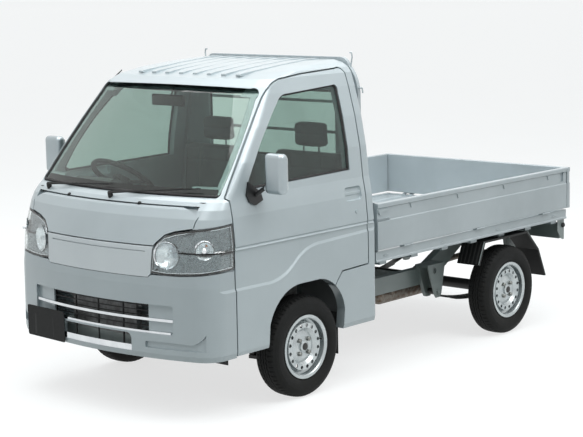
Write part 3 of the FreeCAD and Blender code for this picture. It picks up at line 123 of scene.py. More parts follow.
def mottled(tree, place, light, dark, patch_mm):
    """Two tones of one finish in soft patches."""
    patches = add(tree, "TexNoise", {"Scale": per_metre(patch_mm), "Detail": 4.0, "Roughness": 0.55},
                  [("Vector", place, "Object")])
    share = add(tree, "MapRange", {"From Min": 0.35, "From Max": 0.65}, [("Value", patches, "Fac")])
    return add(tree, "Mix", {"data_type": "RGBA", 6: linear(light), 7: linear(dark)}, [(0, share, 0)])


def dusted(tree, place, colour, film, most):
    """Road dust that thins out with height above the ground."""
    dust, low, high = film
    split = add(tree, "SeparateXYZ", {}, [(0, place, "Object")])
    fade = add(tree, "MapRange", {"From Min": high, "From Max": low, "To Max": most},
               [("Value", split, "Z")])
    cloud = add(tree, "TexNoise", {"Scale": per_metre(DUST_CLOUD), "Detail": 6.0},
                [("Vector", place, "Object")])
    amount = add(tree, "Math", {"operation": "MULTIPLY"}, [(0, fade, 0), (1, cloud, "Fac")])
    return add(tree, "Mix", {"data_type": "RGBA", 7: linear(dust)}, [(0, amount, 0), (6, colour, 2)])


def from_middle(tree, place):
    """How far out to either side of the truck's middle a point lies, in metres."""
    split = add(tree, "SeparateXYZ", {}, [(0, place, "Object")])
    return add(tree, "Math", {"operation": "ABSOLUTE"}, [(0, split, "X")])


def grained(tree, place, grain_mm, depth_mm, detail=2.0):
    """Bump of a fine grain, and the grain itself for the roughness."""
    grain = add(tree, "TexNoise", {"Scale": per_metre(grain_mm), "Detail": detail},
                [("Vector", place, "Object")])
    bump = add(tree, "Bump", {"Strength": 1.0, "Distance": depth_mm * MM}, [("Height", grain, "Fac")])
    return grain, bump


def surface(name, light, dark, patch_mm, rough, grain_mm, depth_mm, metal=0.0, dust=0.0, shine=0.5):
    """A finish with two tones, a grain in its roughness and bump, and a little road dust low down."""
    made, tree, output, place = started(name)
    colour = mottled(tree, place, light, dark, patch_mm)
    if dust:
        colour = dusted(tree, place, colour, DUST_BELOW, dust)
    grain, bump = grained(tree, place, grain_mm, depth_mm)
    gloss = add(tree, "MapRange", {"From Min": 0.3, "From Max": 0.7, "To Min": rough[0], "To Max": rough[1]},
                [("Value", grain, "Fac")])
    body = add(tree, "BsdfPrincipled", {"Metallic": metal, "Specular IOR Level": shine},
               [("Base Color", colour, 2), ("Roughness", gloss, 0), ("Normal", bump, 0)])
    tree.links.new(body.outputs[0], output.inputs[0])
    return made


def clear(name, tint, ior, rough, ripple_mm, depth_mm):
    """A see-through finish with a faint ripple."""
    made, tree, output, place = started(name)
    ripple, bump = grained(tree, place, ripple_mm, depth_mm, 0.0)
    gloss = add(tree, "MapRange", {"To Min": rough[0], "To Max": rough[1]}, [("Value", ripple, "Fac")])
    colour = mottled(tree, place, tint[0], tint[1], GLASS_PATCH)
    body = add(tree, "BsdfPrincipled", {"IOR": ior, "Transmission Weight": 1.0},
               [("Base Color", colour, 2), ("Roughness", gloss, 0), ("Normal", bump, 0)])
    tree.links.new(body.outputs[0], output.inputs[0])
    return made


def silver_paint(name, light, dark, rough, peel_mm, coat_rough, dust):
    """Sprayed metallic basecoat under clear lacquer. Real flakes are 0.02 mm, drawn at 1.6 mm so that
    their sparkle shows; the lacquer's orange peel is a soft wave a few millimetres long."""
    made, tree, output, place = started(name)
    colour = dusted(tree, place, mottled(tree, place, light, dark, PAINT_PATCH), DUST_ON_PAINT, dust)
    flakes = add(tree, "TexVoronoi", {"Scale": per_metre(FLAKE_DRAWN)}, [("Vector", place, "Object")])
    sparkle = add(tree, "MapRange", {"To Min": rough[0], "To Max": rough[1]},
                  [("Value", flakes, "Distance")])
    peel = add(tree, "TexNoise", {"Scale": per_metre(peel_mm), "Detail": 1.0},
               [("Vector", place, "Object")])
    wave = add(tree, "Bump", {"Strength": 1.0, "Distance": PEEL_DEEP * MM}, [("Height", peel, "Fac")])
    body = add(tree, "BsdfPrincipled",
               {"Metallic": 0.22, "IOR": 1.5, "Coat Weight": 0.5, "Coat Roughness": coat_rough,
                "Coat IOR": 1.5},
               [("Base Color", colour, 2), ("Roughness", sparkle, 0), ("Coat Normal", wave, 0)])
    tree.links.new(body.outputs[0], output.inputs[0])
    return made


def tail_lens():
    """Injection-moulded acrylic in one strip over fine flutes: clear inside, then red, then amber."""
    made, tree, output, place = started("acrylic_moulded_tail_lens")
    across = from_middle(tree, place)
    inner = add(tree, "Math", {"operation": "LESS_THAN", 1: CLEAR_ENDS * MM}, [(0, across, 0)])
    outer = add(tree, "Math", {"operation": "GREATER_THAN", 1: AMBER_STARTS * MM}, [(0, across, 0)])
    pale = add(tree, "Mix", {"data_type": "RGBA", 6: linear("#8c0d12"), 7: linear("#d8d8d2")},
               [(0, inner, 0)])
    zoned = add(tree, "Mix", {"data_type": "RGBA", 7: linear("#d9781a")}, [(0, outer, 0), (6, pale, 2)])
    flutes = add(tree, "TexWave", {"Scale": per_metre(LENS_FLUTE) / WAVES_PER_UNIT, "bands_direction": "X"},
                 [("Vector", place, "Object")])
    bump = add(tree, "Bump", {"Strength": 0.8, "Distance": LENS_FLUTE_DEEP * MM},
               [("Height", flutes, "Fac")])
    gloss = add(tree, "MapRange", {"To Min": 0.06, "To Max": 0.16}, [("Value", flutes, "Fac")])
    body = add(tree, "BsdfPrincipled", {"IOR": 1.49, "Transmission Weight": 0.25},
               [("Base Color", zoned, 2), ("Roughness", gloss, 0), ("Normal", bump, 0)])
    tree.links.new(body.outputs[0], output.inputs[0])
    return made


def mirror_shell():
    """Polypropylene mirror: its head is sprayed silver, and its foot and arm stay black."""
    made, tree, output, place = started("polypropylene_mirror_sprayed_head")
    head = add(tree, "Math", {"operation": "GREATER_THAN", 1: MIRROR_HEAD_EDGE * MM},
               [(0, from_middle(tree, place), 0)])
    silver = mottled(tree, place, "#a9b3b7", "#a1acb0", 200)
    colour = add(tree, "Mix", {"data_type": "RGBA", 6: linear("#101213")}, [(0, head, 0), (7, silver, 2)])
    metal = add(tree, "Math", {"operation": "MULTIPLY", 1: 0.8}, [(0, head, 0)])
    grain, bump = grained(tree, place, 2.0, 0.03)
    gloss = add(tree, "MapRange", {"From Min": 0.3, "From Max": 0.7, "To Min": 0.34, "To Max": 0.44},
                [("Value", grain, "Fac")])
    body = add(tree, "BsdfPrincipled", {"IOR": 1.5, "Coat Roughness": 0.08},
               [("Base Color", colour, 2), ("Metallic", metal, 0), ("Coat Weight", head, 0),
                ("Roughness", gloss, 0), ("Normal", bump, 0)])
    tree.links.new(body.outputs[0], output.inputs[0])
    return made


def vinyl():
    """PVC-coated knit for the seats: a leathery emboss of 2.5 mm cells, drawn at 4 mm, and a dull sheen."""
    made, tree, output, place = started("vinyl_coated_knit_embossed")
    colour = mottled(tree, place, "#666b6c", "#5a5f60", 90)
    cells = add(tree, "TexVoronoi", {"Scale": per_metre(KNIT_CELL_DRAWN), "feature": "DISTANCE_TO_EDGE"},
                [("Vector", place, "Object")])
    creased = add(tree, "MapRange", {"From Max": 0.12}, [("Value", cells, "Distance")])
    bump = add(tree, "Bump", {"Strength": 0.7, "Distance": KNIT_CREASE_DEEP * MM}, [("Height", creased, 0)])
    gloss = add(tree, "MapRange", {"To Min": 0.72, "To Max": 0.48}, [("Value", creased, 0)])
    body = add(tree, "BsdfPrincipled", {"IOR": 1.53, "Sheen Weight": 0.15, "Sheen Roughness": 0.5},
               [("Base Color", colour, 2), ("Roughness", gloss, 0), ("Normal", bump, 0)])
    tree.links.new(body.outputs[0], output.inputs[0])
    return made


FINISHES = {
    # Silver enamel with lacquer over primed pressed steel: a soft metallic grey under sharp reflections.
    "body_silver": silver_paint("silver_enamel_lacquered_on_steel", "#b6c1c5", "#b0bbbf",
                                (0.30, 0.40), 7, 0.07, 0.05),
    # The same colour on moulded polypropylene: a touch darker and softer in its gloss.
    "bumper_silver": silver_paint("silver_enamel_on_moulded_polypropylene", "#b0bbbf", "#aab5b9",
                                  (0.32, 0.42), 5, 0.10, 0.08),
    # The garnish between the lamps wears a brighter, finer silver.
    "garnish_silver": silver_paint("fine_silver_enamel_on_garnish", "#d2dadd", "#ccd4d8",
                                   (0.26, 0.34), 5, 0.06, 0.02),
    # The bed's enamel is sprayed thinner and gets scuffed, so its lacquer is duller.
    "bed_silver": silver_paint("silver_enamel_on_bed_steel", "#b4bec2", "#aab4b8",
                               (0.34, 0.48), 9, 0.14, 0.10),
    # The frame rails and their brackets are sprayed with the bed, and stay dull under road film.
    "frame_silver": silver_paint("silver_enamel_on_frame_rails", "#8e9999", "#7b8786",
                                 (0.42, 0.58), 11, 0.30, 0.30),
    # Black chassis enamel, dipped: half-matt with dust that dries on it.
    "chassis_black": surface("black_enamel_dipped_steel", "#141617", "#1c1e1e", 140,
                             (0.40, 0.62), 2.2, 0.05, dust=0.12),
    # Wheel enamel: aluminium-pigmented paint over a pressed disc, satin, with brake dust near the ground.
    "wheel_silver": surface("silver_wheel_enamel_pressed_steel", "#c3c9ca", "#b2b9bb", 70,
                            (0.26, 0.38), 1.5, 0.02, metal=0.75, dust=0.06),
    # Vulcanised rubber: near black, a bloom of grey, and a dead matt that lifts at glancing light.
    "tyre": surface("vulcanised_rubber_moulded", "#0b0d0d", "#121415", 45,
                    (0.66, 0.84), 1.2, 0.10, dust=0.04, shine=0.25),
    # Unpainted polypropylene, spark-eroded grain of 0.8 mm drawn at 2 mm: a soft grey shine on near black.
    "black_plastic": surface("black_polypropylene_moulded_grained", "#0d0f0f", "#141616", 120,
                             (0.48, 0.64), 2.0, 0.06, shine=0.35),
    # Cabin mouldings in grey ABS with the same grain.
    "grey_plastic": surface("grey_abs_moulded_grained", "#6c6e6f", "#606364", 160,
                            (0.52, 0.70), 2.0, 0.07),
    # Bright chromium plate over nickel: mirror-like with the faintest polish haze.
    "bright_trim": surface("chromium_plated_abs", "#d5d8da", "#cbced1", 60,
                           (0.05, 0.14), 3.0, 0.004, metal=1.0),
    # Aluminium vapour on a lacquered plastic bowl: bright with a slight haze.
    "lamp_reflector": surface("aluminised_polycarbonate_bowl", "#dfe2e4", "#cfd3d6", 30,
                              (0.10, 0.22), 9.0, 0.05, metal=1.0),
    # The lamps' inner mask, the same vapour laid over smoked lacquer: darker and softer than the bowls.
    "lamp_bezel": surface("smoked_aluminised_polycarbonate_mask", "#7f878a", "#6d7578", 24,
                          (0.22, 0.36), 9.0, 0.03, metal=1.0),
    # Hard-coated clear polycarbonate: water-clear with crisp highlights.
    "lamp_lens": clear("clear_polycarbonate_hard_coated", ("#f4f8f8", "#eef4f4"), 1.58,
                       (0.0, 0.02), 40, 0.01),
    "tail_lens": tail_lens(),
    # Toughened float glass: a green cast and a faint ripple from its rollers.
    "window_glass": clear("green_tinted_toughened_glass", ("#cfdfd9", "#c9dad3"), 1.45,
                          (0.0, 0.01), 180, 0.01),
    # The door glass is tinted deeper.
    "side_glass": clear("deep_green_tinted_toughened_glass", ("#a9bdb7", "#a3b8b1"), 1.45,
                        (0.0, 0.01), 180, 0.01),
    "seat_vinyl": vinyl(),
    # Sand-cast aluminium cases: dull grey, oily in the hollows.
    "cast_metal": surface("sand_cast_aluminium", "#7d7f80", "#5c5d5d", 35,
                          (0.45, 0.70), 3.0, 0.25, metal=0.75, dust=0.20),
    # Hot-dip aluminised steel pipe, straw-tinted and rusty at its seams.
    "exhaust_steel": surface("aluminised_steel_pipe", "#86827b", "#5d4c3f", 26,
                             (0.38, 0.66), 1.4, 0.05, metal=0.8, dust=0.20),
    # Black ceramic frit fired on the glass: dense and half-matt.
    "ceramic_black": surface("black_ceramic_frit", "#050606", "#080909", 80, (0.30, 0.44), 1.0, 0.005),
    # Extruded EPDM for the seals round glass and doors: matt black.
    "seal_rubber": surface("epdm_rubber_extruded", "#131314", "#1b1b1c", 60, (0.62, 0.80), 1.4, 0.03),
    # Zinc-plated steel for the wheel nuts, greyed by brake dust.
    "zinc": surface("zinc_plated_steel", "#8f918e", "#727471", 6, (0.32, 0.52), 0.8, 0.02, metal=0.9),
    # Silvered glass of the mirrors: an almost perfect reflection.
    "mirror_silver": surface("silvered_mirror_glass", "#dfe5e5", "#dbe2e2", 200,
                             (0.01, 0.03), 120, 0.002, metal=1.0),
    # Black enamelled aluminium sheet for the bare plate: flat and half-matt.
    "plate_black": surface("black_enamelled_aluminium_sheet", "#060808", "#0a0c0c", 90,
                           (0.44, 0.56), 6.0, 0.01, shine=0.2),
    "mirror_shell": mirror_shell(),
    # Amber polycarbonate of the turn lamp's bulb shade: a warm spot behind the clear lens.
    "amber": clear("amber_polycarbonate_shade", ("#e07a12", "#d66f0e"), 1.58, (0.05, 0.12), 5, 0.05),
}

# Nodes that wear another finish than their slot's plain one
OWN_FINISH = {"ladder_frame": "frame_silver", "front_garnish": "garnish_silver"}
for hand, _ in SIDES:
    OWN_FINISH["door_glass_" + hand] = "side_glass"
    OWN_FINISH["door_mirror_" + hand] = "mirror_shell"

slots = {row["node"]: row["material_slot"] for row in frame["record"]["subparts"]}
for node_name, node_object in frame["nodes"].items():
    node_object.data.materials.clear()
    node_object.data.materials.append(FINISHES[OWN_FINISH.get(node_name, slots[node_name])])


# Mesh helpers: every piece is drawn in millimetres and kept in metres

def placed(name, mesh):
    """Turns a bmesh into a new object in the scene."""
    bmesh.ops.recalc_face_normals(mesh, faces=mesh.faces)
    data = bpy.data.meshes.new(name)
    mesh.to_mesh(data)
    mesh.free()
    made = bpy.data.objects.new(name, data)
    bpy.context.scene.collection.objects.link(made)
    return made


def piece(name, mesh, finish, body="chassis", sharp=35.0):
    """Ends a bmesh as a finished piece that rides on a body; edges above the sharp angle stay crisp."""
    made = placed(name, mesh)
    made.data.materials.append(FINISHES[finish])
    made.data.shade_smooth()
    made.data.set_sharp_from_angle(angle=math.radians(sharp))
    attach(made, body)
    return made


def skin(mesh, rings, closed=False):
    """Faces between rings of equally many vertices; closed joins the last ring to the first, else both
    ends are capped."""
    rows = [[mesh.verts.new(p) for p in ring] for ring in rings]
    pairs = list(zip(rows, rows[1:])) + ([(rows[-1], rows[0])] if closed else [])
    for one, other in pairs:
        for k in range(len(one)):
            n = (k + 1) % len(one)
            mesh.faces.new((one[k], one[n], other[n], other[k]))
    if not closed:
        mesh.faces.new(rows[0][::-1])
        mesh.faces.new(rows[-1])


def swept(mesh, path, section, up, closed=False, scale=None):
    """Carries a section, pairs of (across, up) in mm, along a path of points in metres."""
    rings = []
    count = len(path)
    for k, point in enumerate(path):
        before = path[(k - 1) % count] if closed or k else path[0]
        after = path[(k + 1) % count] if closed or k < count - 1 else path[-1]
        along = (after - before).normalized()
        across = along.cross(up).normalized()
        lift = across.cross(along).normalized()
        size = scale[k] if scale else 1.0
        rings.append([point + (across * a + lift * b) * (MM * size) for a, b in section])
    skin(mesh, rings, closed)


def lathed(mesh, profile, centre, axis, steps):
    """Turns a profile of (along, radius) in mm about an axis through a point in metres."""
    axis = axis.normalized()
    side = axis.orthogonal().normalized()
    other = axis.cross(side)
    rings = []
    for along, radius in profile:
        spot = centre + axis * (along * MM)
        rings.append([spot + (side * math.cos(t) + other * math.sin(t)) * (radius * MM)
                      for t in (2 * math.pi * k / steps for k in range(steps))])
    skin(mesh, rings)


def round_section(radius, steps=12):
    """Points of a round bar's section."""
    return [(radius * math.cos(2 * math.pi * k / steps), radius * math.sin(2 * math.pi * k / steps))
            for k in range(steps)]


def rounded_points(x0, x1, a0, a1, radius, steps=6):
    """Points round a rectangle with round corners, as pairs of x and the other axis."""
    out = []
    for cx, ca, start in ((x1 - radius, a1 - radius, 0), (x0 + radius, a1 - radius, 90),
                          (x0 + radius, a0 + radius, 180), (x1 - radius, a0 + radius, 270)):
        for k in range(steps):
            angle = math.radians(start + 90 * k / (steps - 1))
            out.append((cx + radius * math.cos(angle), ca + radius * math.sin(angle)))
    return out


def soft_box(mesh, low, high, edge):
    """A box in mm with rounded edges."""
    made = bmesh.ops.create_cube(mesh, size=1.0)["verts"]
    middle = [(a + b) / 2 for a, b in zip(low, high)]
    size = [b - a for a, b in zip(low, high)]
    for vert in made:
        vert.co = Vector([(m + c * s) * MM for m, c, s in zip(middle, vert.co, size)])
    edges = {e for v in made for e in v.link_edges}
    bmesh.ops.bevel(mesh, geom=list(edges), offset=edge * MM, segments=3, profile=0.5, affect="EDGES")


# Tyres, size 145R12, light-truck ribs

PITCHES = 58
STEPS_PER_PITCH = 6
GROOVE_SWING = 2.6
SLOT_SHARE, SLOT_DEEP = 0.3, 4.2
TREAD_HALF = [
    # across, drop below the crown, share of the zigzag, share of the shoulder slot
    (0.0, 3.5, 0.6, 0.0), (1.4, 3.5, 0.6, 0.0), (2.0, 0.0, 0.6, 0.0), (9.0, 0.0, 0.8, 0.0),
    (14.8, 0.2, 1.0, 0.0), (15.6, 6.8, 1.0, 0.0), (20.0, 6.8, 1.0, 0.0), (20.8, 0.5, 1.0, 0.0),
    (30.0, 1.0, 0.2, 0.0), (30.8, 1.0, 0.0, 1.0), (38.0, 1.8, 0.0, 1.0), (46.0, 3.4, 0.0, 1.0),
    (52.0, 6.2, 0.0, 1.0),
]
# Shoulder, side wall with its two ridges, and bead: (across, radius)
WALL_HALF = [(57.5, 260.5), (62.5, 254.0), (65.6, 247.0), (66.6, 246.0), (69.2, 238.0), (71.0, 231.5),
             (72.0, 230.5), (72.2, 223.0), (72.2, 212.0), (71.0, 201.0), (68.6, 192.0), (65.0, 184.5),
             (63.4, 184.0), (60.2, 178.0), (58.3, 172.5), (57.7, 164.0), (57.1, 155.6)]


def tyre_ring(turn, radius_mm):
    """One cross-section of the tyre at a share of a turn: (across, radius) from bead to bead."""
    phase = (turn * PITCHES) % 1.0
    swing = (abs(phase - 0.5) * 4 - 1) * GROOVE_SWING
    slot_now = SLOT_DEEP if phase < SLOT_SHARE else 0.0
    left, right = [], []
    for across, drop, share, slot in TREAD_HALF:
        radius = radius_mm - drop - slot_now * slot
        left.append((swing * share - across, radius))
        right.append((swing * share + across, radius))
    wall_left = [(-x, r) for x, r in WALL_HALF]
    return wall_left[::-1] + left[1:][::-1] + right + WALL_HALF


def tyre(node, body):
    """Treaded tyre in the place of its plain solid."""
    low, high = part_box(node)
    centre = (low + high) / 2
    radius_mm = (high.z - low.z) / 2 / MM
    steps = PITCHES * STEPS_PER_PITCH
    mesh = bmesh.new()
    rings = []
    for k in range(steps):
        turn = k / steps
        angle = 2 * math.pi * turn
        rings.append([centre + Vector((x, r * math.cos(angle), r * math.sin(angle))) * MM
                      for x, r in tyre_ring(turn, radius_mm)])
    skin(mesh, rings, closed=True)
    made = piece(node + "_treaded", mesh, "tyre", body, 28)
    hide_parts(node)


# Wheel nuts, hub caps and valves; profiles are (along the axle from the rim's outer face, radius)

NUT_COUNT, NUT_CIRCLE = 4, 50.0
NUT_FLATS = [(-22, 12.0), (-19, 13.4), (-19, 12.2), (-8.5, 12.2), (-7.4, 11.2)]
NUT_DOME = [(-12, 9.7), (-7.2, 9.7), (-4.2, 7.6), (-2.8, 3.0), (-2.6, 0.4)]
HUB_CAP = [(-34, 29.0), (-13, 29.0), (-10.5, 27.0), (-10, 21.0), (-6.5, 19.5), (-5, 16.0), (-4.6, 1.0)]
VALVE_STEM = [(-24, 4.8), (-8, 4.2), (-6, 3.1), (2, 3.1), (2, 4.0), (9, 4.0), (10, 3.2)]
VALVE_SPOT = (-10.0, 128.0, 20.0)
VALVE_LEAN = (0.9, -0.35, 0)


def wheel_fittings(node, body, side):
    """Nuts, hub cap and valve on one rim."""
    low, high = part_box(node)
    hub_face = (low + high) / 2 + Vector((side * (high.x - low.x) / 2, 0, 0))
    axis = mirrored(side, OUTWARD)
    mesh = bmesh.new()
    for k in range(NUT_COUNT):
        angle = 2 * math.pi * (k + 0.5) / NUT_COUNT
        spot = hub_face + at(0, NUT_CIRCLE * math.cos(angle), NUT_CIRCLE * math.sin(angle))
        lathed(mesh, NUT_FLATS, spot, axis, 6)
        lathed(mesh, NUT_DOME, spot, axis, 18)
    piece(node.replace("rim", "wheel_nuts"), mesh, "zinc", body, 25)
    hub = bmesh.new()
    lathed(hub, HUB_CAP, hub_face, axis, 36)
    piece(node.replace("rim", "hub_cap"), hub, "chassis_black", body, 25)
    stem = bmesh.new()
    lathed(stem, VALVE_STEM, hub_face + mirrored(side, VALVE_SPOT) * MM, mirrored(side, VALVE_LEAN), 14)
    piece(node.replace("rim", "tyre_valve"), stem, "seal_rubber", body)


for end in ("front", "rear"):
    for hand, side in SIDES:
        wheel_body = f"wheel_{end}_{hand}"
        tyre(f"tyre_{end}_{hand}", wheel_body)
        wheel_fittings(f"rim_{end}_{hand}", wheel_body, side)


# Seals, borders and rings that follow the edge of a pane; outward_at gives the way out at a point

SEAL_STEP, BAND_STEP = 14, 9
# Least share of a face's normal, and of a skin's, that has to point outward
FACING_OUT, SKIN_OUT = 0.55, 0.3
FEELER = 2.0
SEAL_SECTION = [(-0.1, -2.0), (-0.1, 9.0), (3.0, 10.5), (8.0, 8.5), (15.0, 1.6), (15.5, 0.2), (8.0, 0.2)]
DOOR_SEAL_SECTION = [(-0.1, -2.0), (-0.1, 8.0), (2.5, 9.0), (6.0, 7.0), (11.0, 1.4), (11.5, 0.2), (6.0, 0.2)]
SCREEN_OUT = Vector((0, -0.76, 0.65))
DOOR_GLASS_OUT = (0.98, 0, 0.2)
# The black ceramic border of the windscreen, laminated under its outer sheet
BORDER_INSET, BORDER_WIDE, BORDER_DEEP, BORDER_THICK, BORDER_BANDS = 4.0, 46.0, 1.2, 0.5, 4


def one_way(direction):
    """The same way out at every point."""
    return lambda point: direction


def pane_loops(node, outward_at):
    """The closed loops of points round the faces of a node's panes that face outward."""
    mesh = bmesh.new()
    mesh.from_mesh(frame["nodes"][node].data)
    bmesh.ops.remove_doubles(mesh, verts=mesh.verts, dist=1e-6)
    mesh.edges.index_update()
    border = {e for e in mesh.edges
              if [f.normal.dot(outward_at(f.calc_center_median())) > FACING_OUT
                  for f in e.link_faces].count(True) == 1}
    loops = []
    while border:
        edge = min(border, key=lambda e: e.index)
        border.discard(edge)
        start, here = edge.verts
        chain = [start, here]
        while here != start:
            onward = next((e for e in here.link_edges if e in border), None)
            if onward is None:
                break
            border.discard(onward)
            here = onward.other_vert(here)
            chain.append(here)
        if chain[0] == chain[-1] and len(chain) > 8:
            loops.append([v.co.copy() for v in chain[:-1]])
    mesh.free()
    return loops


def outermost(loops, outward_at):
    """Of the loops round a pane, the one that lies furthest out."""
    return max(loops, key=lambda loop: sum(outward_at(p).dot(p) for p in loop) / len(loop))


def resampled(loop, step_mm):
    """The closed loop again with points at even steps."""
    lengths = [(loop[(k + 1) % len(loop)] - p).length for k, p in enumerate(loop)]
    total = sum(lengths)
    count = max(12, round(total / (step_mm * MM)))
    out, k, run = [], 0, 0.0
    for n in range(count):
        goal = total * n / count
        while run + lengths[k] < goal:
            run += lengths[k]
            k += 1
        share = (goal - run) / lengths[k]
        out.append(loop[k].lerp(loop[(k + 1) % len(loop)], share))
    return out


def edge_steps(loop, step_mm, outward_at):
    """Even steps round a loop: each point with the way along it, outward, and inward over the pane."""
    path = resampled(loop, step_mm)
    middle = sum(path, Vector()) / len(path)
    for k, point in enumerate(path):
        along = (path[(k + 1) % len(path)] - path[k - 1]).normalized()
        outward = outward_at(point)
        inward = outward.cross(along).normalized()
        if inward.dot(middle - point) < 0:
            inward = -inward
        yield point, along, outward, inward


def seal(name, node, direction, body, section):
    """A rubber seal round the pane's outer edge; section is (inward over the glass, outward) in mm."""
    outward_at = one_way(direction)
    rings = []
    for point, along, outward, inward in edge_steps(outermost(pane_loops(node, outward_at), outward_at),
                                                    SEAL_STEP, outward_at):
        lift = along.cross(inward)
        lift = lift if lift.dot(outward) > 0 else -lift
        rings.append([point + (inward * a + lift * b) * MM for a, b in section])
    mesh = bmesh.new()
    skin(mesh, rings, closed=True)
    piece(name, mesh, "seal_rubber", body, sharp=50)


def skin_tree(node):
    """A node's surface, to lay things on."""
    mesh = bmesh.new()
    mesh.from_mesh(frame["nodes"][node].data)
    made = BVHTree.FromBMesh(mesh)
    mesh.free()
    return made


def ring_behind(mesh, loop, surface_tree, outward_at, section):
    """A closed band under a skin, along its edge; section is (inward, behind the outer face) in mm."""
    rings = []
    for point, _, outward, inward in edge_steps(loop, BAND_STEP, outward_at):
        ring = []
        for across, depth in section:
            feeler = point + inward * (across * MM) + outward * (FEELER * MM)
            spot, normal, _, _ = surface_tree.find_nearest(feeler)
            if normal.dot(outward) < SKIN_OUT:
                normal = outward
            ring.append(spot - normal * (depth * MM))
        rings.append(ring)
    skin(mesh, rings, closed=True)


def windscreen_border():
    """The fired black border, a thin band inside the glass."""
    loop = outermost(pane_loops("cab_glass", one_way(SCREEN_OUT)), one_way(SCREEN_OUT))
    across = [BORDER_INSET + BORDER_WIDE * k / BORDER_BANDS for k in range(BORDER_BANDS + 1)]
    section = [(a, BORDER_DEEP) for a in across] + [(a, BORDER_DEEP + BORDER_THICK) for a in across[::-1]]
    mesh = bmesh.new()
    ring_behind(mesh, loop, skin_tree("cab_glass"), one_way(SCREEN_OUT.normalized()), section)
    piece("windscreen_border", mesh, "ceramic_black", sharp=50)


seal("windscreen_seal", "cab_glass", SCREEN_OUT, "chassis", SEAL_SECTION)
seal("rear_window_seal", "cab_glass", BEHIND, "chassis", DOOR_SEAL_SECTION)
for hand, side in SIDES:
    seal(f"door_glass_seal_{hand}", f"door_glass_{hand}", mirrored(side, DOOR_GLASS_OUT), f"door_{hand}",
         DOOR_SEAL_SECTION)
windscreen_border()


# Headlamps: a deeper face behind the lens, a dark ring, a bright frame, fluted bowls, bulbs and a ledge.
# Places are for the left lamp, and the right one mirrors them.

LAMP_ROOM, NEAR_LENS = 10.0, 4.5
LAMP_HEART = (560.0, -1470.0, 0.0)
# Each bowl is a cap of a ball: its middle and radius, the way to its back, its half angle, the depth of
# its flutes, and how far behind the middle its bulb is seated
BOWLS = (
    {"middle": (490.0, -1668.0, 846.0), "radius": 84.0, "back": (-0.35, 0.94, 0), "half": 58,
     "flutes": 1.6, "seat": 46},
    {"middle": (722.0, -1610.0, 880.0), "radius": 90.0, "back": (-0.66, 0.75, 0), "half": 34,
     "flutes": 1.4, "seat": 50},
)
BOWL_GAP, BOWL_WALL, FLUTE_WIDE, PLAIN_ROWS = 0.8, 1.2, 11.0, 4
BOWL_ROWS, BOWL_COLUMNS = 13, 64
BULB = [(-36, 15), (-22, 15), (-20, 11), (0, 11), (1.5, 9)]
# Sections as (inward from the lens's edge, behind its face)
DARK_RING = [(0.8, 3.4), (9.0, 3.4), (9.0, 9.5), (0.8, 9.5)]
BRIGHT_FRAME = [(10.0, 4.2), (13.5, 4.2), (13.5, 10.5), (10.0, 10.5)]
# The ledge across the lamp's outer half, found on the lens by looking in at an angle from ahead
LEDGE_START, LEDGE_STEP, LEDGE_POINTS = (575.0, -1640.0, 862.0), (9.6, 10.5, 0), 16
LEDGE_LOOK, LEDGE_BEHIND = math.radians(40.0), 4.6
LEDGE_SECTION = [(0.0, -4.0), (7.0, -3.0), (7.0, 3.0), (0.0, 4.0)]
TURN_BULB = [(-9, 3), (-8, 10), (4, 10.5), (10, 7.5), (12.5, 2.0)]
TURN_BULB_WAY, TURN_BULB_HEIGHT, TURN_BULB_BEHIND = (0.86, -0.51, 0), 905.0, 24.0
LOOK_FROM = 500.0


def lamp_outward(side):
    """The way from a lamp's heart to a point on its lens, level with the ground."""
    heart = mirrored(side, LAMP_HEART) * MM
    return lambda point: Vector((point.x - heart.x, point.y - heart.y, 0)).normalized()


def lamp_housings():
    """Both housings with their face set back from the lens, so that the trim has room."""
    lens = skin_tree("headlamp_lenses")
    mesh = bmesh.new()
    mesh.from_mesh(frame["nodes"]["headlamp_housings"].data)
    bmesh.ops.remove_doubles(mesh, verts=mesh.verts, dist=1e-6)
    for vert in mesh.verts:
        if lens.find_nearest(vert.co)[3] < NEAR_LENS * MM:
            side = 1 if vert.co.x > 0 else -1
            vert.co -= lamp_outward(side)(vert.co) * (LAMP_ROOM * MM)
    made = piece("lamp_bezels", mesh, "lamp_bezel", "chassis", 30)
    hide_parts("headlamp_housings")


def bowl(mesh, side, form):
    """Pressed reflector bowl with upright flutes, and its bulb."""
    centre, radius = mirrored(side, form["middle"]) * MM, form["radius"] - BOWL_GAP
    back = mirrored(side, form["back"])
    axis = back.normalized()
    across = axis.cross(UP).normalized()
    walls = []
    for deep in (0.0, BOWL_WALL):
        wall = []
        for k in range(BOWL_ROWS):
            polar = math.radians(form["half"] * (k + 0.5) / (BOWL_ROWS - 0.5))
            ring = []
            for n in range(BOWL_COLUMNS):
                turn = 2 * math.pi * n / BOWL_COLUMNS
                lean = across * math.cos(turn) + UP * math.sin(turn)
                direction = axis * math.cos(polar) + lean * math.sin(polar)
                waves = direction.dot(across) * radius / FLUTE_WIDE
                dip = form["flutes"] * abs(math.sin(math.pi * waves)) if k > PLAIN_ROWS else 0.0
                ring.append(centre + direction * ((radius - dip - deep) * MM))
            wall.append(ring)
        walls.append(wall)
    skin(mesh, walls[0] + walls[1][::-1], closed=True)
    lathed(mesh, BULB, centre + back * (form["seat"] * MM), -back, 28)


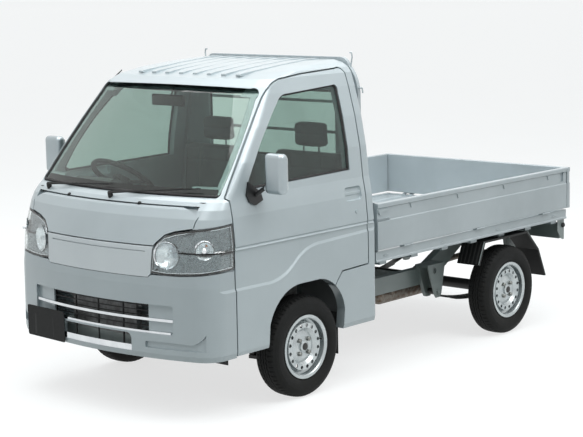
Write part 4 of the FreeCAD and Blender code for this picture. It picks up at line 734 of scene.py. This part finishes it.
def lamp_insides(hand, side):
    """Ring, frame, bowls, ledge and turn bulb of one lamp."""
    lens = skin_tree("headlamp_lenses")
    outward_at = lamp_outward(side)
    loops = pane_loops("headlamp_lenses", outward_at)
    loop = outermost([one for one in loops if one[0].x * side > 0], outward_at)
    dark, bright, amber = bmesh.new(), bmesh.new(), bmesh.new()
    ring_behind(dark, loop, lens, outward_at, DARK_RING)
    ring_behind(bright, loop, lens, outward_at, BRIGHT_FRAME)
    for form in BOWLS:
        bowl(bright, side, form)
    look = mirrored(side, (-math.sin(LEDGE_LOOK), math.cos(LEDGE_LOOK), 0))
    ledge = []
    for k in range(LEDGE_POINTS):
        spot = mirrored(side, [start + step * k for start, step in zip(LEDGE_START, LEDGE_STEP)])
        hit = lens.ray_cast((spot - look * LOOK_FROM) * MM, look)[0]
        if hit is not None:
            ledge.append(hit + look * (LEDGE_BEHIND * MM))
    swept(dark, ledge, LEDGE_SECTION, UP)
    piece(f"lamp_rings_{hand}", dark, "black_plastic", sharp=40)
    piece(f"lamp_frames_{hand}", bright, "lamp_reflector", "chassis", 30)
    way = mirrored(side, TURN_BULB_WAY).normalized()
    heart = mirrored(side, LAMP_HEART) + UP * TURN_BULB_HEIGHT
    hit = lens.ray_cast((heart + way * LOOK_FROM) * MM, -way)[0]
    lathed(amber, TURN_BULB, hit - way * (TURN_BULB_BEHIND * MM), way, 24)
    piece(f"lamp_turn_bulb_{hand}", amber, "amber", "chassis", 50)


lamp_housings()
for hand, side in SIDES:
    lamp_insides(hand, side)


# Seats: padded forms swelled by cloth simulation, then sewn. Side outlines are (y, z).

SEAT_MIDDLE, SEAT_HALF = 352.5, 257.5
CUSHION_OUTLINE = [(-952, 659), (-458, 659), (-458, 750), (-700, 744), (-952, 757)]
BACK_OUTLINE = [(-447, 778), (-361, 778), (-327, 1226), (-342, 1243), (-396, 1243), (-412, 1226)]
HEADREST_OUTLINE = [(-399, 1268), (-404, 1394), (-338, 1402), (-328, 1268)]
CUSHION_IN, BACK_IN, HEADREST_HALF = 8, 20, 104
# Sewn channels as (depth, width), and where they run
CHANNEL, CROSS_CHANNEL, HEADREST_CHANNEL = (6.0, 7.0), (5.0, 7.0), (3.0, 6.0)
CUSHION_CHANNELS_OUT, CUSHION_CROSS_Y = 118, -880
BACK_CHANNELS_OUT, BACK_CROSS_Z = 112, 1150
HEADREST_CROSS_Z = 1336
# Piping's track: in from the seat's sides, its two ends along the pad, and its corners' radius
CUSHION_PIPING, BACK_PIPING = (34, -930, -478, 40), (44, 800, 1222, 44)
CUSHION_INSIDE_Z, BACK_INSIDE_Y = 700, -380
# Rounding of the edges, and how far the stuffing may swell them
CUSHION_SOFT, BACK_SOFT, HEADREST_SOFT = (30, 7), (24, 7), (22, 5)
POST_HALF_GAP, POST_Y, POST_HEIGHTS, POST_RADIUS = 55, -366, (1232, 1250, 1280), 6
VOXEL = 8.0
SWELL_FRAMES = 20
PRESSURE = 4.0
PIPING_RADIUS, PIPING_OUT, PIPING_STEP = 2.6, 0.6, 16
FAR_OFF = 1e3


def applied(made):
    """Bakes a piece's modifiers into its mesh."""
    seen = made.evaluated_get(bpy.context.evaluated_depsgraph_get())
    data = bpy.data.meshes.new_from_object(seen)
    old = made.data
    made.modifiers.clear()
    made.data = data
    bpy.data.meshes.remove(old)


def swelled(made, cap_mm):
    """Cloth under pressure and without gravity; no point moves further than the cap."""
    rest = np.array([v.co for v in made.data.vertices])
    cloth = made.modifiers.new("stuffing", "CLOTH")
    cloth.settings.use_pressure = True
    cloth.settings.uniform_pressure_force = PRESSURE
    cloth.settings.effector_weights.gravity = 0.0
    cloth.point_cache.frame_start, cloth.point_cache.frame_end = 1, SWELL_FRAMES
    for number in range(1, SWELL_FRAMES + 1):
        bpy.context.scene.frame_set(number)
    seen = made.evaluated_get(bpy.context.evaluated_depsgraph_get())
    after = np.array([v.co for v in seen.data.vertices])
    made.modifiers.clear()
    bpy.context.scene.frame_set(1)
    move = after - rest
    length = np.linalg.norm(move, axis=1, keepdims=True)
    move *= np.minimum(1.0, cap_mm * MM / np.maximum(length, 1e-9))
    made.data.vertices.foreach_set("co", (rest + move).astype(np.float32).ravel())
    made.data.update()


def line(axis, level, facing):
    """Distance in mm from a line on a pad, counted only on the side that faces one way."""
    return lambda spot, normal: abs(spot[axis] - level) if normal.dot(facing) > 0.2 else FAR_OFF


def sewn(made, channels):
    """Presses sewn channels into a pad: each is (line, (depth, width))."""
    data = made.data
    normals = [v.normal.copy() for v in data.vertices]
    for vert, normal in zip(data.vertices, normals):
        spot = vert.co / MM
        sink = sum(depth * math.exp(-(far(spot, normal) / width) ** 2) for far, (depth, width) in channels)
        vert.co -= normal * (sink * MM)
    data.update()


def piping(name, made, track, towards):
    """A piped seam laid on a pad along a closed track, shot at it in one direction."""
    tree = BVHTree.FromObject(made, bpy.context.evaluated_depsgraph_get())
    hits = [tree.ray_cast(spot - towards * 0.4, towards)[0] for spot in resampled(track, PIPING_STEP)]
    path = [hit - towards * (PIPING_OUT * MM) for hit in hits if hit is not None]
    mesh = bmesh.new()
    swept(mesh, path, round_section(PIPING_RADIUS, 8), -towards, closed=True)
    piece(name, mesh, "seat_vinyl", "chassis", 60)


def pad_channels(middle, out, axis, level, facing):
    """Two sewn channels along a pad, so far out from its middle, and one across it."""
    along = [(line(0, middle + one * out, facing), CHANNEL) for one in (-1, 1)]
    return along + [(line(axis, level, facing), CROSS_CHANNEL)]


def pad(name, outline, x0, x1, soft, channels):
    """A closed pad from its side outline, stretched between two x values."""
    edge_mm, cap_mm = soft
    mesh = bmesh.new()
    skin(mesh, [[at(x, y, z) for y, z in outline] for x in (x0, x1)])
    bmesh.ops.bevel(mesh, geom=list(mesh.edges), offset=edge_mm * MM, segments=4, profile=0.5,
                    affect="EDGES", clamp_overlap=True)
    made = placed(name, mesh)
    even = made.modifiers.new("even", "REMESH")
    even.mode = "VOXEL"
    even.voxel_size = VOXEL * MM
    applied(made)
    swelled(made, cap_mm)
    smooth = made.modifiers.new("smooth", "SUBSURF")
    smooth.levels = smooth.render_levels = 1
    applied(made)
    sewn(made, channels)
    made.data.materials.clear()
    made.data.materials.append(FINISHES["seat_vinyl"])
    made.data.shade_smooth()
    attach(made, "chassis")
    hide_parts("seats")
    return made


def seats():
    """Cushion, back and headrest on each side, with piping and posts."""
    for hand, side in SIDES:
        middle = side * SEAT_MIDDLE
        low, high = middle - SEAT_HALF, middle + SEAT_HALF
        cushion = pad(f"seat_cushion_{hand}", CUSHION_OUTLINE, low + CUSHION_IN, high - CUSHION_IN,
                      CUSHION_SOFT, pad_channels(middle, CUSHION_CHANNELS_OUT, 1, CUSHION_CROSS_Y, UP))
        inset, *rest = CUSHION_PIPING
        track = rounded_points(low + inset, high - inset, *rest, 9)
        piping(f"cushion_piping_{hand}", cushion, [at(x, y, CUSHION_INSIDE_Z) for x, y in track], -UP)
        back = pad(f"seat_back_{hand}", BACK_OUTLINE, low + BACK_IN, high - BACK_IN, BACK_SOFT,
                   pad_channels(middle, BACK_CHANNELS_OUT, 2, BACK_CROSS_Z, AHEAD))
        inset, *rest = BACK_PIPING
        track = rounded_points(low + inset, high - inset, *rest, 9)
        piping(f"back_piping_{hand}", back, [at(x, BACK_INSIDE_Y, z) for x, z in track], -AHEAD)
        pad(f"headrest_{hand}", HEADREST_OUTLINE, middle - HEADREST_HALF, middle + HEADREST_HALF,
            HEADREST_SOFT, [(line(2, HEADREST_CROSS_Z, AHEAD), HEADREST_CHANNEL)])
        posts = bmesh.new()
        for x in (middle - POST_HALF_GAP, middle + POST_HALF_GAP):
            swept(posts, [at(x, POST_Y, z) for z in POST_HEIGHTS], round_section(POST_RADIUS), AHEAD)
        piece(f"headrest_posts_{hand}", posts, "bright_trim", "chassis")


seats()


# Wipers: places are the spindle and the middle of the blade

WIPERS = (("wiper_left", (26, -1572, 1106), (500, -1469, 1166)),
          ("wiper_right", (-524, -1512, 1106), (-60, -1526, 1158)))
BLADE_BEHIND, BLADE_AHEAD = 0.78, 0.12
SPINDLE_CAP = [(-6, 13.8), (10, 13.8), (17, 12.4), (22, 9.0), (24.5, 3.0), (24.6, 0.4)]
SPINDLE_WAY = Vector((0, -0.3, 0.95))
ARM_HEEL, ARM_OVERLAP, ARM_SHARES = (0, -7, 20), 10.0, (0.06, 0.2, 0.44)
ARM_SECTION = [(-6, -3), (6, -3), (6, 1.6), (4.6, 3), (-4.6, 3), (-6, 1.6)]
ARM_TAPER = [1.15, 1.15, 0.85, 0.6]
BRIDGE_SHARES = (0.1, 0.3, 0.42, 0.5, 0.58, 0.7, 0.9)
BRIDGE_TAPER = [0.7, 1.0, 1.3, 1.5, 1.3, 1.0, 0.7]
BRIDGE_SECTION, BRIDGE_BOW = [(-3.2, -1.2), (3.2, -1.2), (2.4, 1.8), (-2.4, 1.8)], 1.6
CLAW_SHARES, CLAW_HALF, CLAW_LOW = (0.04, 0.17, 0.33, 0.67, 0.83, 0.96), 6.0, 3.2
CLAW_SECTION = [(-3.6, -1.6), (3.6, -1.6), (3.6, 1.6), (-3.6, 1.6)]
RUBBER_LOW = 4.4
RUBBER_SECTION = [(-2.8, 1.0), (-2.8, -0.6), (-0.8, -1.2), (-0.6, -2.4), (0.6, -2.4), (0.8, -1.2),
                  (2.8, -0.6), (2.8, 1.0)]


def wiper(name, pivot, tip):
    """Spindle cap, tapered pressed arm, bridge with its claws, and the rubber against the glass."""
    heel = pivot + at(*ARM_HEEL)
    reach = tip - heel
    steel, rubber = bmesh.new(), bmesh.new()
    lathed(steel, SPINDLE_CAP, pivot, SPINDLE_WAY, 24)
    arm = [heel - reach.normalized() * (ARM_OVERLAP * MM)] + [heel + reach * share for share in ARM_SHARES]
    swept(steel, arm, ARM_SECTION, SCREEN_OUT, scale=ARM_TAPER)
    tail, head = tip - reach * BLADE_BEHIND, tip + reach * BLADE_AHEAD
    blade = head - tail
    bridge = [tail + blade * s - SCREEN_OUT * (MM * BRIDGE_BOW * abs(s - 0.5) * 2) for s in BRIDGE_SHARES]
    swept(steel, bridge, BRIDGE_SECTION, SCREEN_OUT, scale=BRIDGE_TAPER)
    half_claw = blade.normalized() * (CLAW_HALF * MM)
    for share in CLAW_SHARES:
        spot = tail + blade * share - SCREEN_OUT * (CLAW_LOW * MM)
        swept(steel, [spot - half_claw, spot + half_claw], CLAW_SECTION, SCREEN_OUT)
    sink = SCREEN_OUT * (RUBBER_LOW * MM)
    swept(rubber, [tail - sink, head - sink], RUBBER_SECTION, SCREEN_OUT)
    made = piece(name, steel, "black_plastic", sharp=40)
    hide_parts("wipers")
    piece(name + "_rubber", rubber, "seal_rubber", sharp=40)


for name, pivot, tip in WIPERS:
    wiper(name, at(*pivot), at(*tip))


# Bare plate, mirrors and small fittings

PLATE_MIDDLE, PLATE_YAW = (-405, -1675, 400), -5.0
PLATE_HALF, PLATE_HALF_HIGH, PLATE_CORNER = 165.0, 82.5, 12
# From the plate's back to its face: (in from the edge, behind the middle)
PLATE_RIM = ((0.0, 1.4), (0.0, -0.6), (1.4, -1.6), (4.0, -1.6), (5.2, -0.4))
CARRIER_BARS = (((-345, -1681, 330), (-315, -1664, 440)), ((-505, -1668, 330), (-475, -1634, 440)))
MIRROR_INNER, MIRROR_OUTER, MIRROR_LOW, MIRROR_HIGH, MIRROR_CORNER = 786, 886, 1143, 1324, 20
# From the mirror glass's back to its face: (in from the edge, y)
MIRROR_LAYERS = ((0.0, -1167.5), (0.0, -1164.6), (1.4, -1163.4))
RIB_PLACES, RIB_ENDS = (584, 612, 640, 668, 696), ((717, 476), (774, 603))
RIB_SECTION, RIB_OUT = [(-5, -2), (5, -2), (3, 4), (-3, 4)], Vector((0, -0.91, 0.41))
EDGE_OUT, EDGE_SECTION = 718.5, [(-5, -1.4), (5, -1.4), (5, 1.4), (-5, 1.4)]
# The arches' edges as (y, z): ahead of the rear wheel, and behind it
ARCH_TRACKS = ([(717, 473), (776, 604)], [(1236, 604), (1359, 479), (1439, 303)])
NOZZLE_SPOTS, NOZZLE_WAY = ((-300, -1567, 1089), (245, -1577, 1086)), Vector((0, -0.35, 0.94))
NOZZLE = [(-3, 11), (2, 11), (5, 9), (8, 5.5), (9.5, 1.0)]
AERIAL_FOOT, AERIAL_TIP = (-598, -962, 1644), (-598, -886, 1694)
AERIAL_RADIUS, AERIAL_TAPER = 3.4, [1.2, 1.0, 0.8]
AERIAL_SOCKET = [(-10, 8.0), (2, 8.0), (6, 5.0), (9, 3.6)]
INSIDE_MIRROR_BOX, INSIDE_MIRROR_EDGE = ((-118, -1122, 1532), (118, -1100, 1592)), 8
STALK, STALK_RADIUS = ((0, -1102, 1566), (0, -1080, 1600), (0, -1064, 1622)), 6
FLAP_FROM, FLAP_TO, FLAP_EDGE = (610, -1438, 282), (700, -1433, 340), 2
BRACKET_X, BRACKET_THICK = 700, 2.2
BRACKET_OUTLINE = [(1606, 640), (1606, 560), (1640, 512), (1662, 498), (1682, 498), (1682, 640)]
STOP_SPOT, RUBBER_STOP = (702, 1664, 590), [(0, 15), (9, 15), (12, 12), (12.5, 2)]


def bare_plate():
    """Pressed sheet with a raised rim on two carrier bars. It carries nothing."""
    x, y, z = PLATE_MIDDLE
    there = Matrix.Translation(at(x, y, z))
    turn = there @ Matrix.Rotation(math.radians(PLATE_YAW), 4, "Z") @ there.inverted()
    rings = []
    for inset, depth in PLATE_RIM:
        half, tall = PLATE_HALF - inset, PLATE_HALF_HIGH - inset
        rings.append([turn @ at(px, y + depth, pz) for px, pz in
                      rounded_points(x - half, x + half, z - tall, z + tall, PLATE_CORNER - inset)])
    mesh = bmesh.new()
    skin(mesh, rings)
    piece("bare_plate", mesh, "plate_black", sharp=30)
    carrier = bmesh.new()
    for low, high in CARRIER_BARS:
        soft_box(carrier, low, high, 2.0)
    piece("plate_carrier", carrier, "black_plastic")


def mirror_glasses():
    """Silvered glass in the back of each door mirror's head."""
    for hand, side in SIDES:
        low, high = sorted((side * MIRROR_INNER, side * MIRROR_OUTER))
        mesh = bmesh.new()
        skin(mesh, [[at(x, y, z) for x, z in rounded_points(low + inset, high - inset, MIRROR_LOW + inset,
                                                            MIRROR_HIGH - inset, MIRROR_CORNER)]
                    for inset, y in MIRROR_LAYERS])
        piece(f"mirror_glass_{hand}", mesh, "mirror_silver", f"door_{hand}", 30)


def arch_pressings():
    """Upright ribs in the splash panels ahead of the rear wheels, and the arches' light edges."""
    ribs, edges = bmesh.new(), bmesh.new()
    for _, side in SIDES:
        for x in RIB_PLACES:
            swept(ribs, [at(side * x, y, z) for y, z in RIB_ENDS], RIB_SECTION, RIB_OUT)
        for track in ARCH_TRACKS:
            swept(edges, [at(side * EDGE_OUT, y, z) for y, z in track], EDGE_SECTION, mirrored(side, OUTWARD))
    piece("splash_panel_ribs", ribs, "chassis_black", "chassis", 30)
    piece("arch_edges", edges, "frame_silver", "chassis", 30)


def washer_nozzles():
    """Two round nozzles on the cowl below the windscreen."""
    mesh = bmesh.new()
    for spot in NOZZLE_SPOTS:
        lathed(mesh, NOZZLE, at(*spot), NOZZLE_WAY, 20)
    piece("washer_nozzles", mesh, "black_plastic", sharp=40)


def aerial():
    """Short folded aerial with its foot on the right front post."""
    mesh = bmesh.new()
    foot, tip = at(*AERIAL_FOOT), at(*AERIAL_TIP)
    lathed(mesh, AERIAL_SOCKET, foot, tip - foot, 16)
    rod = [foot, foot.lerp(tip, 0.5), tip]
    swept(mesh, rod, round_section(AERIAL_RADIUS, 10), OUTWARD, scale=AERIAL_TAPER)
    piece("aerial", mesh, "black_plastic", sharp=50)


def inside_mirror():
    """Rear-view mirror on a stalk from the roof's front edge."""
    mesh = bmesh.new()
    soft_box(mesh, *INSIDE_MIRROR_BOX, INSIDE_MIRROR_EDGE)
    swept(mesh, [at(*spot) for spot in STALK], round_section(STALK_RADIUS, 10), OUTWARD)
    piece("inside_mirror", mesh, "black_plastic", sharp=40)


def deflector_flaps():
    """Rubber flaps that hang below the ends of the bumper, ahead of the wheels."""
    mesh = bmesh.new()
    for _, side in SIDES:
        low, high = sorted((side * FLAP_FROM[0], side * FLAP_TO[0]))
        soft_box(mesh, (low, *FLAP_FROM[1:]), (high, *FLAP_TO[1:]), FLAP_EDGE)
    piece("deflector_flaps", mesh, "seal_rubber", sharp=40)


def tail_brackets():
    """Pressed plates under the rear corners of the bed, each with a round rubber stop."""
    plate, stop = bmesh.new(), bmesh.new()
    for _, side in SIDES:
        skin(plate, [[at(side * x, y, z) for y, z in BRACKET_OUTLINE]
                     for x in (BRACKET_X, BRACKET_X + BRACKET_THICK)])
        lathed(stop, RUBBER_STOP, mirrored(side, STOP_SPOT) * MM, mirrored(side, OUTWARD), 24)
    piece("tail_brackets", plate, "frame_silver", "chassis", 30)
    piece("tail_stops", stop, "seal_rubber", sharp=40)


bare_plate()
mirror_glasses()
arch_pressings()
washer_nozzles()
aerial()
inside_mirror()
deflector_flaps()
tail_brackets()


# Stage, light and camera; distances of lamps are in metres

FLOOR_RADIUS, FLOOR_DROP, FLOOR_PATCH = 160.0, 0.0005, 900
# Name, place, target, size and watts of each soft box
SOFT_BOXES = (
    ("overhead_softbox", (0.5, -0.5, 6.0), (0, 0, 0.8), (7.0, 8.0), 380),
    ("left_high_softbox", (5.5, 0.5, 6.5), (0.4, 0.2, 1.2), (5.0, 3.0), 170),
    ("front_high_softbox", (0.5, -6.0, 6.5), (0, -1.2, 1.0), (4.0, 3.0), 60),
)
# The photograph's viewpoint, fitted to the truck's own sizes
CAMERA_SPOT = at(6351.5, -7316.6, 2267.3)
CAMERA_YAW, CAMERA_PITCH, CAMERA_ROLL = (math.radians(v) for v in (41.225, 8.561, -1.113))
PICTURE_WIDTH, PICTURE_HEIGHT = 583, 437
FOCAL_PX = 1665.84
CENTRE_PX = (300.10, 214.41)
SENSOR_MM = 36.0


def shown_to(tree):
    """1 for the rays that show the background: straight from the camera, reflected, or through glass."""
    path = add(tree, "LightPath")
    straight = add(tree, "Math", {"operation": "MAXIMUM"},
                   [(0, path, "Is Camera Ray"), (1, path, "Is Glossy Ray")])
    return add(tree, "Math", {"operation": "MAXIMUM"}, [(0, straight, 0), (1, path, "Is Transmission Ray")])


def stage():
    """Pale floor that runs on past the picture: bright where it is seen, greyer in what it throws back."""
    bpy.ops.mesh.primitive_circle_add(vertices=96, radius=FLOOR_RADIUS, fill_type="NGON",
                                      location=(0, 0, -FLOOR_DROP))
    floor = bpy.context.object
    floor.name = "floor"
    made, tree, output, place = started("matt_white_studio_vinyl")
    colour = mottled(tree, place, "#979a9a", "#959898", FLOOR_PATCH)
    seen = add(tree, "BsdfPrincipled", {"Roughness": 0.85, "Specular IOR Level": 0.1,
                                        "Emission Color": linear("#ffffff"), "Emission Strength": 0.70},
               [("Base Color", colour, 2)])
    bounce = mottled(tree, place, "#69716f", "#646c6a", FLOOR_PATCH)
    bounced = add(tree, "BsdfPrincipled", {"Roughness": 0.9, "Specular IOR Level": 0.1},
                  [("Base Color", bounce, 2)])
    mixed = add(tree, "MixShader", {}, [(0, shown_to(tree), 0), (1, bounced, 0), (2, seen, 0)])
    tree.links.new(mixed.outputs[0], output.inputs[0])
    floor.data.materials.append(made)


def sky():
    """Studio surround: bright overhead, dimmer towards the horizon; plain white where it is seen."""
    world = bpy.data.worlds.new("studio_surround")
    bpy.context.scene.world = world
    world.use_nodes = True
    tree = world.node_tree
    tree.nodes.clear()
    output = add(tree, "OutputWorld")
    place = add(tree, "TexCoord")
    split = add(tree, "SeparateXYZ", {}, [(0, place, "Generated")])
    height = add(tree, "MapRange", {"From Min": -0.05, "From Max": 0.7, "To Min": 0.14, "To Max": 0.70},
                 [("Value", split, "Z")])
    light = add(tree, "Background", {"Color": linear("#eef4f6")}, [("Strength", height, 0)])
    seen = add(tree, "Background", {"Color": linear("#ffffff"), "Strength": 1.0})
    mixed = add(tree, "MixShader", {}, [(0, shown_to(tree), 0), (1, light, 0), (2, seen, 0)])
    tree.links.new(mixed.outputs[0], output.inputs[0])


def soft_box_lamp(name, spot, target, size, power):
    """A white soft box that faces its target."""
    light = bpy.data.lights.new(name, "AREA")
    light.shape = "RECTANGLE"
    light.size, light.size_y = size
    light.energy = power
    made = bpy.data.objects.new(name, light)
    made.location = spot
    made.rotation_euler = (Vector(target) - Vector(spot)).to_track_quat("-Z", "Y").to_euler()
    bpy.context.scene.collection.objects.link(made)


def camera():
    """The photograph's camera, with its roll and its picture's middle."""
    level = math.cos(CAMERA_PITCH)
    view = Vector((-math.sin(CAMERA_YAW) * level, math.cos(CAMERA_YAW) * level, -math.sin(CAMERA_PITCH)))
    right = view.cross(UP).normalized()
    up = right.cross(view)
    turned_right = right * math.cos(CAMERA_ROLL) + up * math.sin(CAMERA_ROLL)
    turned_up = up * math.cos(CAMERA_ROLL) - right * math.sin(CAMERA_ROLL)
    data = bpy.data.cameras.new("viewpoint")
    data.sensor_width = SENSOR_MM
    data.lens = FOCAL_PX / PICTURE_WIDTH * SENSOR_MM
    data.shift_x = -(CENTRE_PX[0] - PICTURE_WIDTH / 2) / PICTURE_WIDTH
    data.shift_y = (CENTRE_PX[1] - PICTURE_HEIGHT / 2) / PICTURE_WIDTH
    data.clip_end = 400
    turned = Matrix((turned_right, turned_up, -view)).transposed().to_4x4()
    made = bpy.data.objects.new("viewpoint", data)
    made.matrix_world = Matrix.Translation(CAMERA_SPOT) @ turned
    bpy.context.scene.collection.objects.link(made)
    bpy.context.scene.camera = made


stage()
sky()
for box in SOFT_BOXES:
    soft_box_lamp(*box)
camera()
bpy.context.scene.view_settings.view_transform = "Standard"
